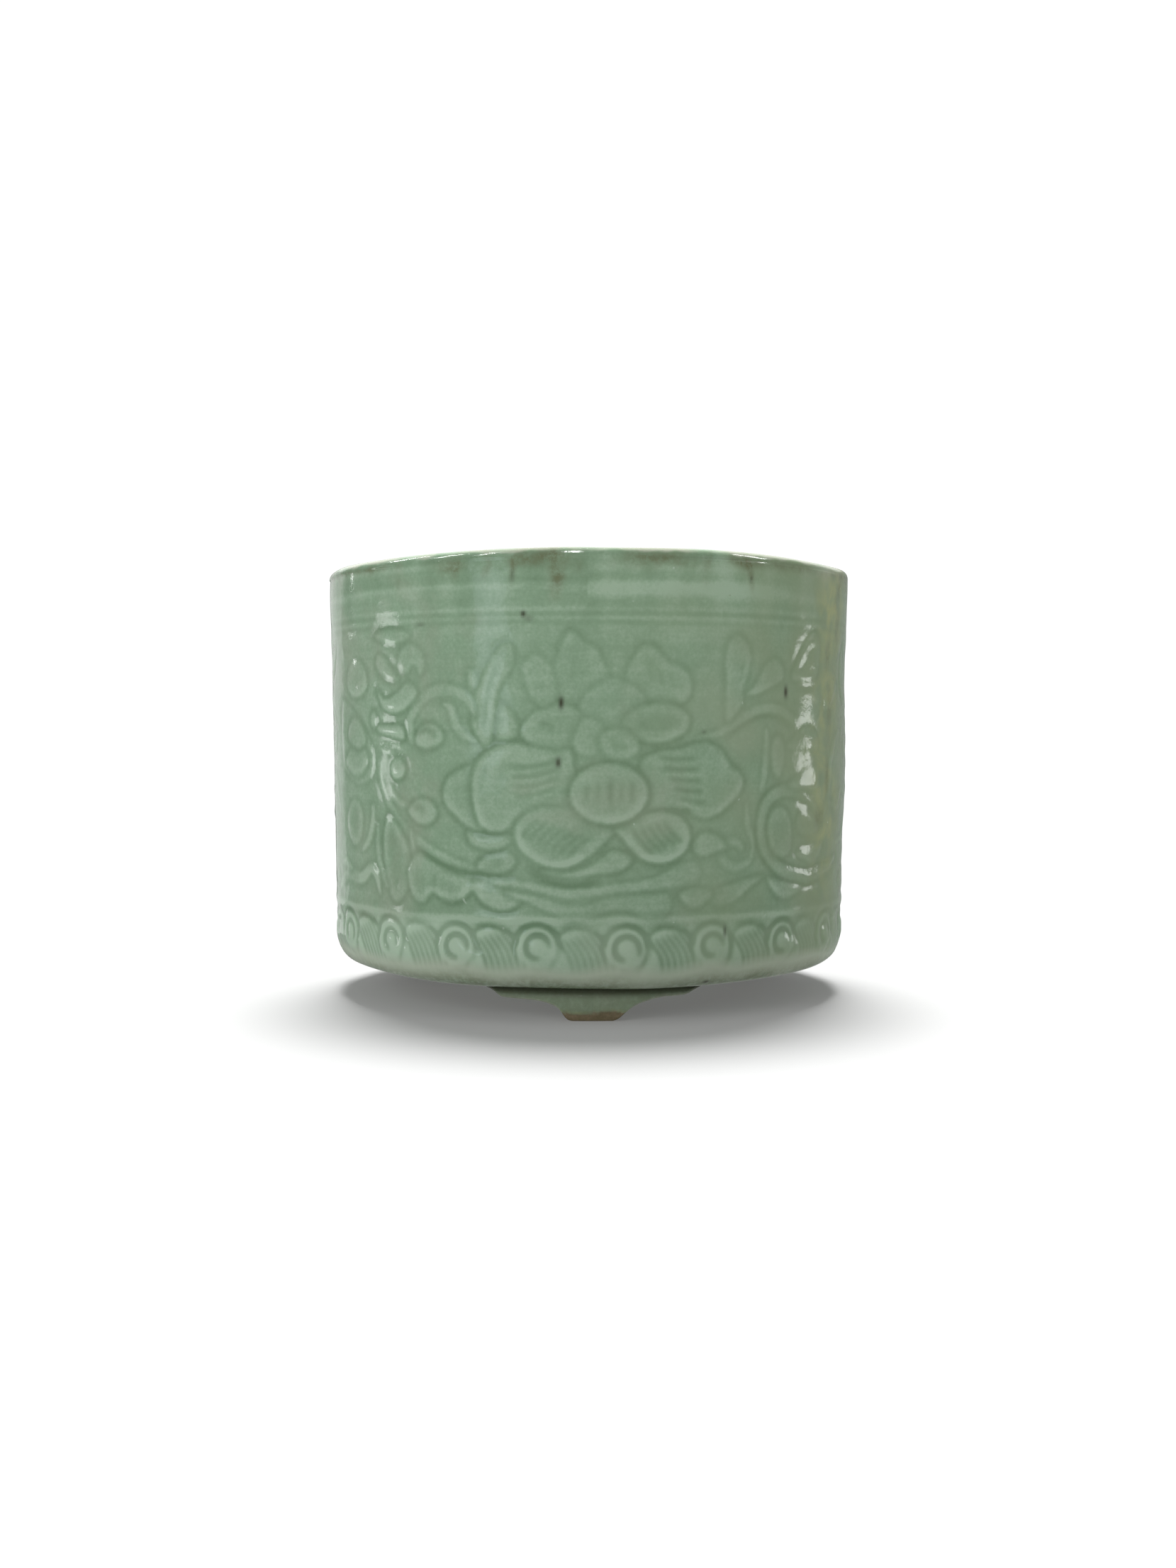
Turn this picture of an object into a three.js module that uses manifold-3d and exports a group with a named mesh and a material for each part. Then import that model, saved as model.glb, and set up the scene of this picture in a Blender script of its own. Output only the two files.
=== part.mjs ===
// Cylindrical celadon brush pot on three bracket feet, as five pieces that the potter luted together.
// Millimetres, +Z up. The origin is on the table, below the middle of the pot, and the front foot is at -Y.

import * as THREE from "three";
import { mergeVertices } from "three/addons/utils/BufferGeometryUtils.js";
import Module from "manifold-3d";

const wasm = await Module();
wasm.setup();

// Driving dimensions
const HEIGHT = 144.9; // table to the top of the rim
const MOUTH_RADIUS = 90.1; // widest part, just under the rim
const MOUTH_Z = 140;
const LIP_RADIUS = 86; // crown of the rounded lip
const SHOULDER_RADIUS = 89.65; // where the carved field begins
const BELLY_RADIUS = 89;
const WAIST_RADIUS = 88.2; // above the rounded lower corner
const WAIST_Z = 21;
const UNDERSIDE_Z = 10.6; // clearance under the pot
const UNDERSIDE_RADIUS = 80;
const CORNER_PULL_RADIUS = 86.8; // control point of the rounded lower corner
const CORNER_PULL_Z = UNDERSIDE_Z + 0.2;
const LIP_OUTER_PULL_Z = HEIGHT - 0.7; // control points of the rounded lip
const LIP_INNER_PULL_Z = HEIGHT - 0.2;
const INNER_MOUTH_RADIUS = 82.6;
const INNER_BELLY_RADIUS = 81.2;
const TOE_Z = 34; // below this the wall thickens inward
const TOE_RADIUS = 74; // inside of the wall at the underside
const FLOOR_THICKNESS = 9;
const FLOOR_DISH = 1.2; // the floor is this much lower in the middle
const FLOOR_CHAMFER = 1.5;
const LUTING_GAP = 0.3; // slip joint between two pieces

// Incised lines round the wall: two above the carved field, one above the wave border
const LINE_HEIGHTS = [31.7, 122.5, 125.1];
const LINE_DEPTH = 0.6;
const LINE_HALF_WIDTH = 0.8;

// Feet: a bracket outline, cut from a ring that follows the underside
const FOOT_TURN_DEG = 1.1; // the feet were set by hand, a little off the front line
const FOOT_TOP_Z = UNDERSIDE_Z - LUTING_GAP;
const APRON_HALF_WIDTH = 34.8;
const APRON_STEP_Z = 9;
const APRON_EDGE_HALF_WIDTH = 29.8;
const APRON_EDGE_Z = 6.8;
const KNEE_HALF_WIDTH = 20.5;
const PAD_HALF_WIDTH = 8.2;
const FOOT_FRONT_RADIUS = 79;
const PAD_OUTER_RADIUS = 76.8;
const PAD_INNER_RADIUS = 64.5;
const FOOT_BACK_RADIUS = 62;
const SWEEP_PAD_PULL = [11, 3.4]; // control points of the sweep from pad to knee
const SWEEP_KNEE_PULL = [13, APRON_EDGE_Z - 0.8];

const ROUND_SEGMENTS = 96;
const CURVE_DIVISIONS = 6;

const glaze = new THREE.MeshStandardMaterial({ color: 0x8fae95, roughness: 0.18, metalness: 0 });
const floorGlaze = new THREE.MeshStandardMaterial({ color: 0x86a58c, roughness: 0.22, metalness: 0 });
const footGlaze = new THREE.MeshStandardMaterial({ color: 0x7c8f80, roughness: 0.3, metalness: 0 });

const scene = new THREE.Group();
scene.name = "brush_pot";

function addPiece(name, geometry, material) {
  const mesh = new THREE.Mesh(geometry, material);
  mesh.name = name;
  scene.add(mesh);
  return mesh;
}

// A closed (radius, height) profile turned about +Z.
function turned(points) {
  return new THREE.LatheGeometry(points, ROUND_SEGMENTS).rotateX(Math.PI / 2);
}

// The lines are cut where the profile passes them.
function incisedLine(path, z) {
  const radius = THREE.MathUtils.mapLinear(z, WAIST_Z, MOUTH_Z, WAIST_RADIUS, SHOULDER_RADIUS);
  path.lineTo(radius, z - LINE_HALF_WIDTH);
  path.lineTo(radius - LINE_DEPTH, z);
  path.lineTo(radius, z + LINE_HALF_WIDTH);
}

// Thrown wall: rounded lower corner, nearly upright side, rounded lip, and a toe that thickens inward.
function vesselWall() {
  const path = new THREE.Path();
  path.moveTo(TOE_RADIUS, UNDERSIDE_Z);
  path.lineTo(UNDERSIDE_RADIUS, UNDERSIDE_Z);
  path.quadraticCurveTo(CORNER_PULL_RADIUS, CORNER_PULL_Z, WAIST_RADIUS, WAIST_Z);
  incisedLine(path, LINE_HEIGHTS[0]);
  path.lineTo(BELLY_RADIUS, (WAIST_Z + MOUTH_Z) / 2);
  incisedLine(path, LINE_HEIGHTS[1]);
  incisedLine(path, LINE_HEIGHTS[2]);
  path.lineTo(MOUTH_RADIUS, MOUTH_Z);
  path.quadraticCurveTo(MOUTH_RADIUS, LIP_OUTER_PULL_Z, LIP_RADIUS, HEIGHT);
  path.quadraticCurveTo(INNER_MOUTH_RADIUS, LIP_INNER_PULL_Z, INNER_MOUTH_RADIUS, MOUTH_Z);
  path.lineTo(INNER_BELLY_RADIUS, TOE_Z);
  path.lineTo(TOE_RADIUS, UNDERSIDE_Z);
  return turned(path.getPoints(CURVE_DIVISIONS));
}

// Floor slab, set into the tapered toe of the wall.
function floorDisc() {
  const slope = (INNER_BELLY_RADIUS - TOE_RADIUS) / (TOE_Z - UNDERSIDE_Z);
  const bottomRadius = TOE_RADIUS - LUTING_GAP;
  const sideTop = FLOOR_THICKNESS - FLOOR_CHAMFER;
  const topZ = UNDERSIDE_Z + FLOOR_THICKNESS;
  return turned([
    new THREE.Vector2(0, UNDERSIDE_Z),
    new THREE.Vector2(bottomRadius, UNDERSIDE_Z),
    new THREE.Vector2(bottomRadius + slope * sideTop, UNDERSIDE_Z + sideTop),
    new THREE.Vector2(bottomRadius - FLOOR_CHAMFER, topZ),
    new THREE.Vector2(bottomRadius / 2, topZ - FLOOR_DISH),
    new THREE.Vector2(0, topZ - FLOOR_DISH),
  ]);
}

// Ring that all feet are cut from: a swelling front face, a flat tread and a sloping back.
function footRing() {
  const path = new THREE.Path();
  path.moveTo(PAD_INNER_RADIUS, 0);
  path.lineTo(PAD_OUTER_RADIUS, 0);
  path.quadraticCurveTo(FOOT_FRONT_RADIUS, APRON_EDGE_Z / 2, FOOT_FRONT_RADIUS, FOOT_TOP_Z);
  path.lineTo(FOOT_BACK_RADIUS, FOOT_TOP_Z);
  path.lineTo(PAD_INNER_RADIUS, 0);
  return turned(path.getPoints(CURVE_DIVISIONS));
}

// Front view of a foot: a stepped apron that sweeps down to a narrow pad.
function footOutline() {
  const [padPullX, padPullZ] = SWEEP_PAD_PULL;
  const [kneePullX, kneePullZ] = SWEEP_KNEE_PULL;
  const shape = new THREE.Shape();
  shape.moveTo(-PAD_HALF_WIDTH, 0);
  shape.lineTo(PAD_HALF_WIDTH, 0);
  shape.bezierCurveTo(padPullX, padPullZ, kneePullX, kneePullZ, KNEE_HALF_WIDTH, APRON_EDGE_Z);
  shape.lineTo(APRON_EDGE_HALF_WIDTH, APRON_EDGE_Z);
  shape.lineTo(APRON_HALF_WIDTH, APRON_STEP_Z);
  shape.lineTo(APRON_HALF_WIDTH, FOOT_TOP_Z);
  shape.lineTo(-APRON_HALF_WIDTH, FOOT_TOP_Z);
  shape.lineTo(-APRON_HALF_WIDTH, APRON_STEP_Z);
  shape.lineTo(-APRON_EDGE_HALF_WIDTH, APRON_EDGE_Z);
  shape.lineTo(-KNEE_HALF_WIDTH, APRON_EDGE_Z);
  shape.bezierCurveTo(-kneePullX, kneePullZ, -padPullX, padPullZ, -PAD_HALF_WIDTH, 0);
  return shape;
}

function toSolid(geometry) {
  const bare = geometry.clone();
  bare.deleteAttribute("normal");
  bare.deleteAttribute("uv");
  const merged = mergeVertices(bare, 1e-4);
  return new wasm.Manifold(
    new wasm.Mesh({
      numProp: 3,
      vertProperties: new Float32Array(merged.attributes.position.array),
      triVerts: new Uint32Array(merged.index.array),
    }),
  );
}

function toGeometry(solid) {
  const mesh = solid.getMesh();
  const geometry = new THREE.BufferGeometry();
  geometry.setAttribute("position", new THREE.BufferAttribute(mesh.vertProperties, mesh.numProp));
  geometry.setIndex(new THREE.BufferAttribute(mesh.triVerts, 1));
  geometry.computeVertexNormals();
  return geometry;
}

function bracketFoot() {
  const cutter = new THREE.ExtrudeGeometry(footOutline(), {
    depth: MOUTH_RADIUS,
    bevelEnabled: false,
    curveSegments: CURVE_DIVISIONS,
  });
  cutter.rotateX(Math.PI / 2); // the outline stands up and is carried towards -Y
  return toGeometry(toSolid(footRing()).intersect(toSolid(cutter)));
}

addPiece("vessel_wall", vesselWall(), glaze);
addPiece("floor_disc", floorDisc(), floorGlaze);

const footNames = ["foot_front", "foot_back_right", "foot_back_left"];
const footGeometry = bracketFoot();
footNames.forEach((name, i) => {
  const foot = addPiece(name, footGeometry, footGlaze);
  foot.rotation.z = THREE.MathUtils.degToRad(FOOT_TURN_DEG + (360 / footNames.length) * i);
});

export default scene;
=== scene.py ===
"""Celadon brush pot: glazed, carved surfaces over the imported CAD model, on a pale studio floor.

The pieces are worked out in millimetres until grid_mesh makes metres of them. The stage is in metres.
"""

import math

import bpy
import numpy as np
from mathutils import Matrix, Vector


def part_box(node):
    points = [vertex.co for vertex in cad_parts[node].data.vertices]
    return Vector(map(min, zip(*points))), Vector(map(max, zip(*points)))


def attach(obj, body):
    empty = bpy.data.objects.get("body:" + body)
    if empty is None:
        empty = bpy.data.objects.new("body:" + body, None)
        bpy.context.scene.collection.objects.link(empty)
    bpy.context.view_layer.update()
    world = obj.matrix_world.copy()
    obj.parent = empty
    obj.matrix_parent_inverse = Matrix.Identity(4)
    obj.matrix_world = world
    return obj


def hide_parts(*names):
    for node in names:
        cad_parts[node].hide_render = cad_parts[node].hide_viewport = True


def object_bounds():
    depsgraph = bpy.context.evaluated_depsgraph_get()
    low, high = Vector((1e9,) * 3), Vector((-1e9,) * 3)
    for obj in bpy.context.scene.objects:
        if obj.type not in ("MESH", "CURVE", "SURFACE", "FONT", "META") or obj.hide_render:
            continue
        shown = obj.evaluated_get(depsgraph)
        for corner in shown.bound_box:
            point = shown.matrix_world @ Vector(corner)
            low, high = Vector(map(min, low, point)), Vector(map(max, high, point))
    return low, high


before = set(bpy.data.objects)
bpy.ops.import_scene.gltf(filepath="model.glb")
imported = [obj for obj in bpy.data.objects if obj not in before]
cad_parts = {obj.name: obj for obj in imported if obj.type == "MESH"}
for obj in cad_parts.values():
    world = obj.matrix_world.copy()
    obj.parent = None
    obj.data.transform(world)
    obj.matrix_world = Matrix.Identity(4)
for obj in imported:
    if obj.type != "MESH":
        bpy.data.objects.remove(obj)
cad_low, cad_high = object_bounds()

# ---- driving sizes, in millimetres
MM = 0.001  # metres in a millimetre
wall_low, wall_high = (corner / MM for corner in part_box("vessel_wall"))
floor_low, floor_high = (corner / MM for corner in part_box("floor_disc"))
foot_low, foot_high = (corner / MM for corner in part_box("foot_front"))

MOUTH_R = wall_high.x  # widest part, just under the rim
TOP_Z = wall_high.z
UNDER_Z = wall_low.z  # clearance under the pot
MOUTH_Z = TOP_Z - 4.9
LIP_Z = TOP_Z - 2.8  # where the outside begins to round over
LIP_R = MOUTH_R - 2.7
INNER_MOUTH_R = MOUTH_R - 7.5
INNER_BELLY_R = MOUTH_R - 8.9
TOE_Z = UNDER_Z + 23.4  # the wall thickens inward below this
TOE_R = floor_high.x - 2.0
UNDER_R = MOUTH_R - 10.1
WAIST_R = MOUTH_R - 1.9
WAIST_Z = UNDER_Z + 10.4
SIDE_HEIGHTS = [WAIST_Z, 31, 51, 70, 109, 129, 134, MOUTH_Z]
SIDE_INSETS = [1.9, 1.9, 1.65, 1.05, 0.95, 0.45, 0.1, 0.0]  # below MOUTH_R at those heights

ARC_R = 90.0  # arc lengths round the wall are counted at this radius, from the front
ROUND = 2 * math.pi * ARC_R
PITCH = 0.6  # grain of the carved mesh
COLUMNS = int(ROUND / PITCH)
REPEAT = ROUND / 2  # the flower scroll comes twice, in front and behind
WAVES = 20
FIRST_WAVE = 12.4  # arc position and height of the middle of its crest
WAVE_Z = 23.4
FIELD_LOW, FIELD_HIGH = 33.0, 121.0  # the scroll lies between these heights
# lines right round the wall: (height, how far it waves up and down, how far it stands out, width)
RING_LINES = [(125.1, 0.12, -0.4, 0.6), (122.5, 0.15, -0.36, 0.6), (32.3, 0.3, 0.42, 0.85)]


def rng(seed):
    return np.random.default_rng(seed)


# ---- carving map: height of the clay round the wall
MAP_Z0, MAP_Z1 = 8.0, 146.0
MAP_COLS = 1416
MAP_STEP = ROUND / MAP_COLS
MAP_ROWS = int((MAP_Z1 - MAP_Z0) / MAP_STEP)
heights = MAP_Z0 + np.arange(MAP_ROWS) * MAP_STEP
GROUND = 0.36  # the ground of the scroll is scraped this much lower
scraped = np.clip((heights - FIELD_LOW) / 2.0, 0, 1) * np.clip((FIELD_HIGH - heights) / 6.0, 0, 1)
clay = np.repeat(-GROUND * scraped[:, None], MAP_COLS, 1)  # 0 is the thrown surface, cuts are negative

CUT_DEPTH = 0.9  # beside a leaf or a stem
CUT_REACH = 1.05
CUT_SLOPE = 1.25
SCRAPE_DEPTH = 0.22  # the wide hollow round a leaf
SCRAPE_REACH = 5.0
UNDER_LEAF_CUT = 0.35  # share of the older carving that shows through a new cut
UNDER_STEM_CUT = 0.25
RIM_RISE = 0.3  # rim of a leaf, or middle of a stem
RIM_HALF_WIDTH = 0.95
RIM_INSET = 1.4
DISH = 0.2  # how much a leaf is hollowed within its rim
DISH_INSET = 1.2
DISH_REACH = 2.6
LEAN = 0.14  # a leaf is lower at its top than at its bottom
CREST_R = 7.2  # wave crest: outer cut, raised roll and spiral groove
ROLL_R = 5.4
SPIRAL_R = 4.2
SPIRAL_DRAW = 1.3  # how far the spiral draws in
SPIRAL_TURN = 300  # degrees
RELIEF = 0.5  # how much of the carving still shows as shape under the glaze


def spline(points, closed, per=7):
    """Points on a smooth curve through the given ones (Catmull-Rom)."""
    p = np.array(points, float)
    n = len(p)
    if closed:
        p = np.vstack([p[-1], p, p[0], p[1]])
        spans = n
    else:
        p = np.vstack([2 * p[0] - p[1], p, 2 * p[-1] - p[-2]])
        spans = n - 1
    t = np.linspace(0, 1, per, endpoint=False)[:, None]
    out = []
    for k in range(spans):
        a, b, c, d = p[k], p[k + 1], p[k + 2], p[k + 3]
        out.append(0.5 * (2 * b + (c - a) * t + (2 * a - 5 * b + 4 * c - d) * t**2
                          + (3 * b - a - 3 * c + d) * t**3))
    if not closed:
        out.append(p[-2][None, :])
    return np.vstack(out)


def patch(points, margin):
    """The part of the map around some points: its cells, and their arc positions and heights."""
    low, high = points[:, :2].min(0) - margin, points[:, :2].max(0) + margin
    r0 = max(0, int((low[1] - MAP_Z0) / MAP_STEP))
    r1 = min(MAP_ROWS, int((high[1] - MAP_Z0) / MAP_STEP) + 2)
    c0, c1 = int(low[0] / MAP_STEP) - 1, int(high[0] / MAP_STEP) + 2
    rows, columns = np.arange(r0, r1), np.arange(c0, c1)
    s, z = np.meshgrid(columns * MAP_STEP, MAP_Z0 + rows * MAP_STEP)
    return np.ix_(rows, columns % MAP_COLS), s, z


def distance_to(line, s, z, closed):
    """Distance to a polyline, and how far along it (0 to 1) the nearest point is."""
    ends = np.vstack([line[1:], line[:1]]) if closed else line[1:]
    starts = line if closed else line[:-1]
    best = np.full(s.shape, 1e9)
    along = np.zeros(s.shape)
    for k, (a, b) in enumerate(zip(starts, ends)):
        ab = b[:2] - a[:2]
        t = ((s - a[0]) * ab[0] + (z - a[1]) * ab[1]) / (ab @ ab + 1e-12)
        t = np.clip(t, 0, 1)
        d = np.hypot(s - a[0] - t * ab[0], z - a[1] - t * ab[1])
        near = d < best
        best = np.where(near, d, best)
        along = np.where(near, (k + t) / len(starts), along)
    return best, along


def inside(line, s, z):
    """True where a point lies within a closed outline."""
    ends = np.vstack([line[1:], line[:1]])
    hit = np.zeros(s.shape, bool)
    for (s0, z0), (s1, z1) in zip(line, ends):
        if z0 == z1:
            continue
        crosses = (z0 > z) != (z1 > z)
        hit ^= crosses & (s < (s1 - s0) * (z - z0) / (z1 - z0) + s0)
    return hit


class Carver:
    """Cuts one repeat of the scroll into the clay, a little differently each time."""

    def __init__(self, shift, sway, phase):
        self.shift, self.sway, self.phase = shift, sway, phase

    def place(self, line):
        """Moves a line to this repeat, with the small drift of a second hand-carved copy."""
        s, z = line[:, 0].copy(), line[:, 1].copy()
        moved = line.copy()
        moved[:, 0] = s + self.shift + self.sway * np.sin(z / 14 + self.phase)
        moved[:, 1] = z + 0.7 * self.sway * np.sin(s / 19 + self.phase)
        return moved

    def trace(self, points, closed, margin):
        """A smooth line through the points, the patch of map around it, and the distances to it there."""
        line = self.place(spline(points, closed))
        cells, s, z = patch(line, margin)
        return line, cells, s, z, *distance_to(line, s, z, closed)

    def leaf(self, points, rise=1.0, dish=1.0, depth=1.0):
        """A raised leaf or petal: a cut outside it, a rim that is proudest low down, a dished middle."""
        line, cells, s, z, d, _ = self.trace(points, True, 9.0)
        within = inside(line, s, z)
        cut = -depth * CUT_DEPTH * np.exp(-((d / CUT_REACH) ** CUT_SLOPE))
        cut -= depth * SCRAPE_DEPTH * np.exp(-d / SCRAPE_REACH)
        outside = np.minimum(clay[cells], clay[cells] * UNDER_LEAF_CUT + cut)
        below = np.gradient(np.where(within, d, -d), MAP_STEP, axis=0)
        rim = RIM_RISE * rise * (0.4 + 0.75 * below) * np.exp(-(((d - RIM_INSET) / RIM_HALF_WIDTH) ** 2))
        bowl = -DISH * dish * (1 - np.exp(-((np.maximum(d - DISH_INSET, 0) / DISH_REACH) ** 2)))
        lean = LEAN * (0.5 - np.clip((z - line[:, 1].min()) / np.ptp(line[:, 1]), 0, 1))
        edge = -0.5 * np.exp(-(((d + 0.05) / 0.45) ** 2))
        clay[cells] = np.where(within, edge + rim + bowl + lean, outside)

    def stem(self, points, widths, rise=1.0, depth=1.0):
        """A rounded raised stroke whose half-width runs through the given widths."""
        _, cells, _, _, d, along = self.trace(points, False, max(widths) + 3.5 * CUT_REACH)
        half = np.interp(along, np.linspace(0, 1, len(widths)), widths)
        cut = -depth * CUT_DEPTH * np.exp(-((np.maximum(d - half, 0) / CUT_REACH) ** CUT_SLOPE))
        outside = np.minimum(clay[cells], clay[cells] * UNDER_STEM_CUT + cut)
        across = np.clip(d / np.maximum(half, 0.05), 0, 1)
        body = RIM_RISE * rise * (1 - across**2) - 0.42 * across**6
        clay[cells] = np.where(d < half, body, outside)

    def groove(self, points, depth=0.6, width=0.7, taper=6):
        """An incised line that thins out at both ends, or a soft ridge where the depth is negative."""
        _, cells, _, _, d, along = self.trace(points, False, 4 * width)
        strength = np.sqrt(np.clip(np.minimum(along, 1 - along) * taper, 0, 1))
        clay[cells] -= depth * strength * np.exp(-((d / width) ** 2))

    def sprig(self, root, base, tip, fat, bend=0.1):
        """A pointed leaf from base to tip, with a vein, on a stalk that starts at root."""
        base, tip = np.array(base, float), np.array(tip, float)
        along = tip - base
        across = np.array([-along[1], along[0]]) / np.hypot(*along)
        belly = across * np.hypot(*along) * bend

        def spine(t, side=0.0):
            return base + along * t + belly * 4 * t * (1 - t) + across * fat * side

        self.stem([root, base, spine(0.15)], [0.6, 1.2, 0.6])
        left = [spine(0.18, 0.7), spine(0.42, 1.0), spine(0.7, 0.7), spine(0.9, 0.3)]
        right = [spine(0.9, -0.25), spine(0.7, -0.65), spine(0.42, -0.9), spine(0.18, -0.65)]
        self.leaf([base, *left, tip, *right], rise=1.2, dish=0.6)
        self.groove([spine(0.08), spine(0.45), spine(0.85)], 0.4, 0.7)

    def curl(self, s0, z0):
        """A wave crest: a raised roll round a spiral groove, cut free above and open below."""
        cells, s, z = patch(np.array([[s0, z0]]), 10.0)
        reach = np.hypot(s - s0, z - z0)
        upper = np.clip(0.7 + 1.1 * (z - z0) / (reach + 0.1), 0, 1)
        disc = np.clip((6.6 - reach) / 0.8, 0, 1)
        roll = 0.45 * np.exp(-((reach - ROLL_R) ** 2)) * (0.3 + 0.7 * upper)
        edge = -1.9 * upper * np.exp(-(((reach - CREST_R) / 0.9) ** 2))
        clay[cells] = clay[cells] * (1 - disc) + roll + edge
        turn = np.linspace(0.0, 1.0, 22)
        angle = np.radians(-24 + 20 * math.sin(3 * s0) + SPIRAL_TURN * turn)
        radius = SPIRAL_R + 0.35 * math.sin(5 * s0) - SPIRAL_DRAW * turn
        self.groove(np.column_stack([s0 + radius * np.cos(angle), z0 + radius * np.sin(angle)]), 2.9, 0.8)

    def comb(self, first, last, count, depth=0.7, bow=0.0, width=0.6):
        """Comb strokes spread from one end stroke to the other, each bowed sideways by bow."""
        (a0, a1), (b0, b1) = np.array(first, float), np.array(last, float)
        for k in range(count):
            t = k / (count - 1)
            start, end = a0 + (b0 - a0) * t, a1 + (b1 - a1) * t
            middle = (start + end) / 2 + np.array([-(end - start)[1], (end - start)[0]]) * bow
            self.groove([start, middle, end], depth, width)


def carve_flower(c):
    """The open flower: outer petals first, so that the inner ones lie over them."""
    # crown of upright petals
    c.leaf([(-5.4, 120.2), (-1.6, 116.8), (1.8, 115.4), (4.2, 111.4), (6.2, 106.6), (3, 100), (-6, 98),
        (-11.5, 101), (-12.2, 107), (-9.6, 112.2), (-8.6, 116)])
    c.groove([(-5.2, 114.5), (-4.6, 109), (-5.4, 104)], 0.3, 0.6)
    c.leaf([(-20.6, 108.4), (-18.8, 111.8), (-15.6, 113), (-12.2, 110.4), (-10.4, 105), (-10, 98.6),
        (-14, 96.4), (-18.4, 101.5)], dish=0.6)
    c.leaf([(11.6, 104.6), (12.4, 109.6), (14.2, 112.8), (16.6, 115.6), (19.6, 115.6), (22.4, 113.2),
        (25.2, 110.6), (28.4, 109.6), (31.4, 107), (32.6, 102.6), (30.4, 98.6), (24, 98.2),
        (17, 99.2)])
    c.comb([(18, 110.5), (20, 105)], [(25, 107.5), (26.4, 102.6)], 3, 0.3)
    c.leaf([(-3.2, 93), (-2.4, 99), (1.6, 103), (6.6, 105.4), (11.4, 104.8), (15.4, 102.4),
        (17.8, 98.2), (16, 92.5), (8, 89.5)])
    c.leaf([(10, 92.2), (13.4, 95.8), (17.4, 97.6), (22, 98.4), (27.4, 97.4), (31.6, 94.6),
        (31.4, 90.6), (27.8, 87.6), (22, 86), (16.4, 86.6), (12.6, 88.6)], dish=2.2)
    c.leaf([(-21, 88.6), (-19.4, 92.8), (-16.4, 95.8), (-12.6, 96.6), (-9.4, 98.2), (-5, 97.2),
        (-1.8, 94), (-1.2, 89.4), (-3.6, 85.6), (-8.6, 83.2), (-15.4, 83.6)], dish=0.6)
    c.groove([(-15.2, 91.6), (-12.6, 91.8), (-10.8, 90.2)], 0.6, 0.8)
    # broad left petal: a lobe behind, and the striped shell in front
    c.leaf([(-33, 83.4), (-37.6, 79.6), (-41.6, 78), (-45.6, 75.6), (-47.8, 71.4), (-46.8, 66.8),
        (-42.6, 63), (-38.6, 60.2), (-33, 59.4), (-30, 66), (-30, 76)], dish=0.5)
    c.leaf([(-5, 83.4), (-10, 83.6), (-16, 84.8), (-22, 86), (-28, 85.6), (-33.4, 82.6), (-36.8, 77.4),
        (-37.4, 70.6), (-36.4, 64.8), (-34.4, 60.6), (-30, 58.8), (-25.4, 59.8), (-22.6, 63),
        (-18.6, 65.6), (-12, 66.8), (-5, 66)], rise=1.5, dish=0.6)
    c.groove([(-24, 83.6), (-28.6, 80), (-31, 74), (-30.8, 67), (-28.6, 62.4)], -0.25, 1.4, taper=5)
    c.comb([(-9, 81), (-24.5, 79)], [(-9.8, 67.6), (-22, 63.8)], 6, bow=0.06)
    # broad right petal
    c.leaf([(17, 66.6), (24, 66.2), (30.4, 66), (33.4, 63.8), (38, 63), (42.6, 64.4), (46.4, 67.2),
        (50, 70.4), (51.4, 74.4), (49, 77.8), (45.4, 80.6), (43, 84), (38.2, 86.2), (33, 85.8),
        (27.6, 84.4), (21, 83.4), (16, 80)], rise=1.2, dish=0.6)
    c.comb([(21, 81.8), (34.6, 81.6)], [(30, 66.2), (38, 64.4)], 6, bow=-0.04)
    c.groove([(45.6, 79.4), (48.6, 77.6)], 0.4, 0.6)
    # lower petals, with the notch between them
    c.leaf([(8.2, 60.2), (6.4, 57.4), (3.6, 54.4), (0, 51.6), (-4, 49.2), (-8.6, 48), (-13.2, 48.6),
        (-17.4, 50.4), (-21.4, 53.4), (-23.2, 57.6), (-22.6, 61.6), (-19, 65), (-13, 67),
        (-7, 66.4), (2, 64)], rise=2.0, dish=1.4)
    c.comb([(-21, 57), (-15.2, 63.2)], [(-6.6, 51.8), (1.2, 57.8)], 7, bow=0.06)
    c.leaf([(8, 60.4), (9.8, 57.6), (12.6, 54.4), (15.6, 51.4), (19.6, 49.6), (24.6, 49.6),
        (29.2, 51.6), (32, 55), (32.2, 59.4), (30, 63), (25.6, 65.2), (20.4, 65.4), (14, 63.6)],
           rise=1.4, dish=0.9)
    c.comb([(13.4, 60.4), (20.2, 52.4)], [(23, 63), (29.6, 55.6)], 5, bow=-0.05)
    # small petals round the seed pod, then the pod itself
    c.leaf([(-1.4, 94), (2.7, 93), (5.2, 90.2), (3.4, 87.5), (3.8, 84.2), (1, 82.2), (-3.1, 82.8),
        (-4.9, 86.5), (-3.4, 91)], dish=0.4, depth=0.7)
    c.leaf([(3.1, 88), (7.2, 90.6), (11.6, 90), (15, 87), (15.6, 83.6), (12.4, 81.4), (8, 80.8),
        (4.4, 83)], dish=1.0, depth=0.7)
    c.groove([(6.6, 88), (8.6, 85), (12, 84)], 0.3, 0.6)
    turns = np.linspace(0, 2 * math.pi, 12, False)
    pod = [(6.3 + 12.3 * math.cos(a), 70.8 + 9.4 * math.sin(a)) for a in turns]
    c.leaf(pod, rise=0.9, dish=0.3, depth=1.25)
    c.comb([(-0.4, 73.4), (-0.6, 68.6)], [(13.6, 74.6), (13.2, 68)], 5, 0.6)
    c.groove([(6.8, 76.6), (7.2, 65.4)], 0.5, 0.7)


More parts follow.
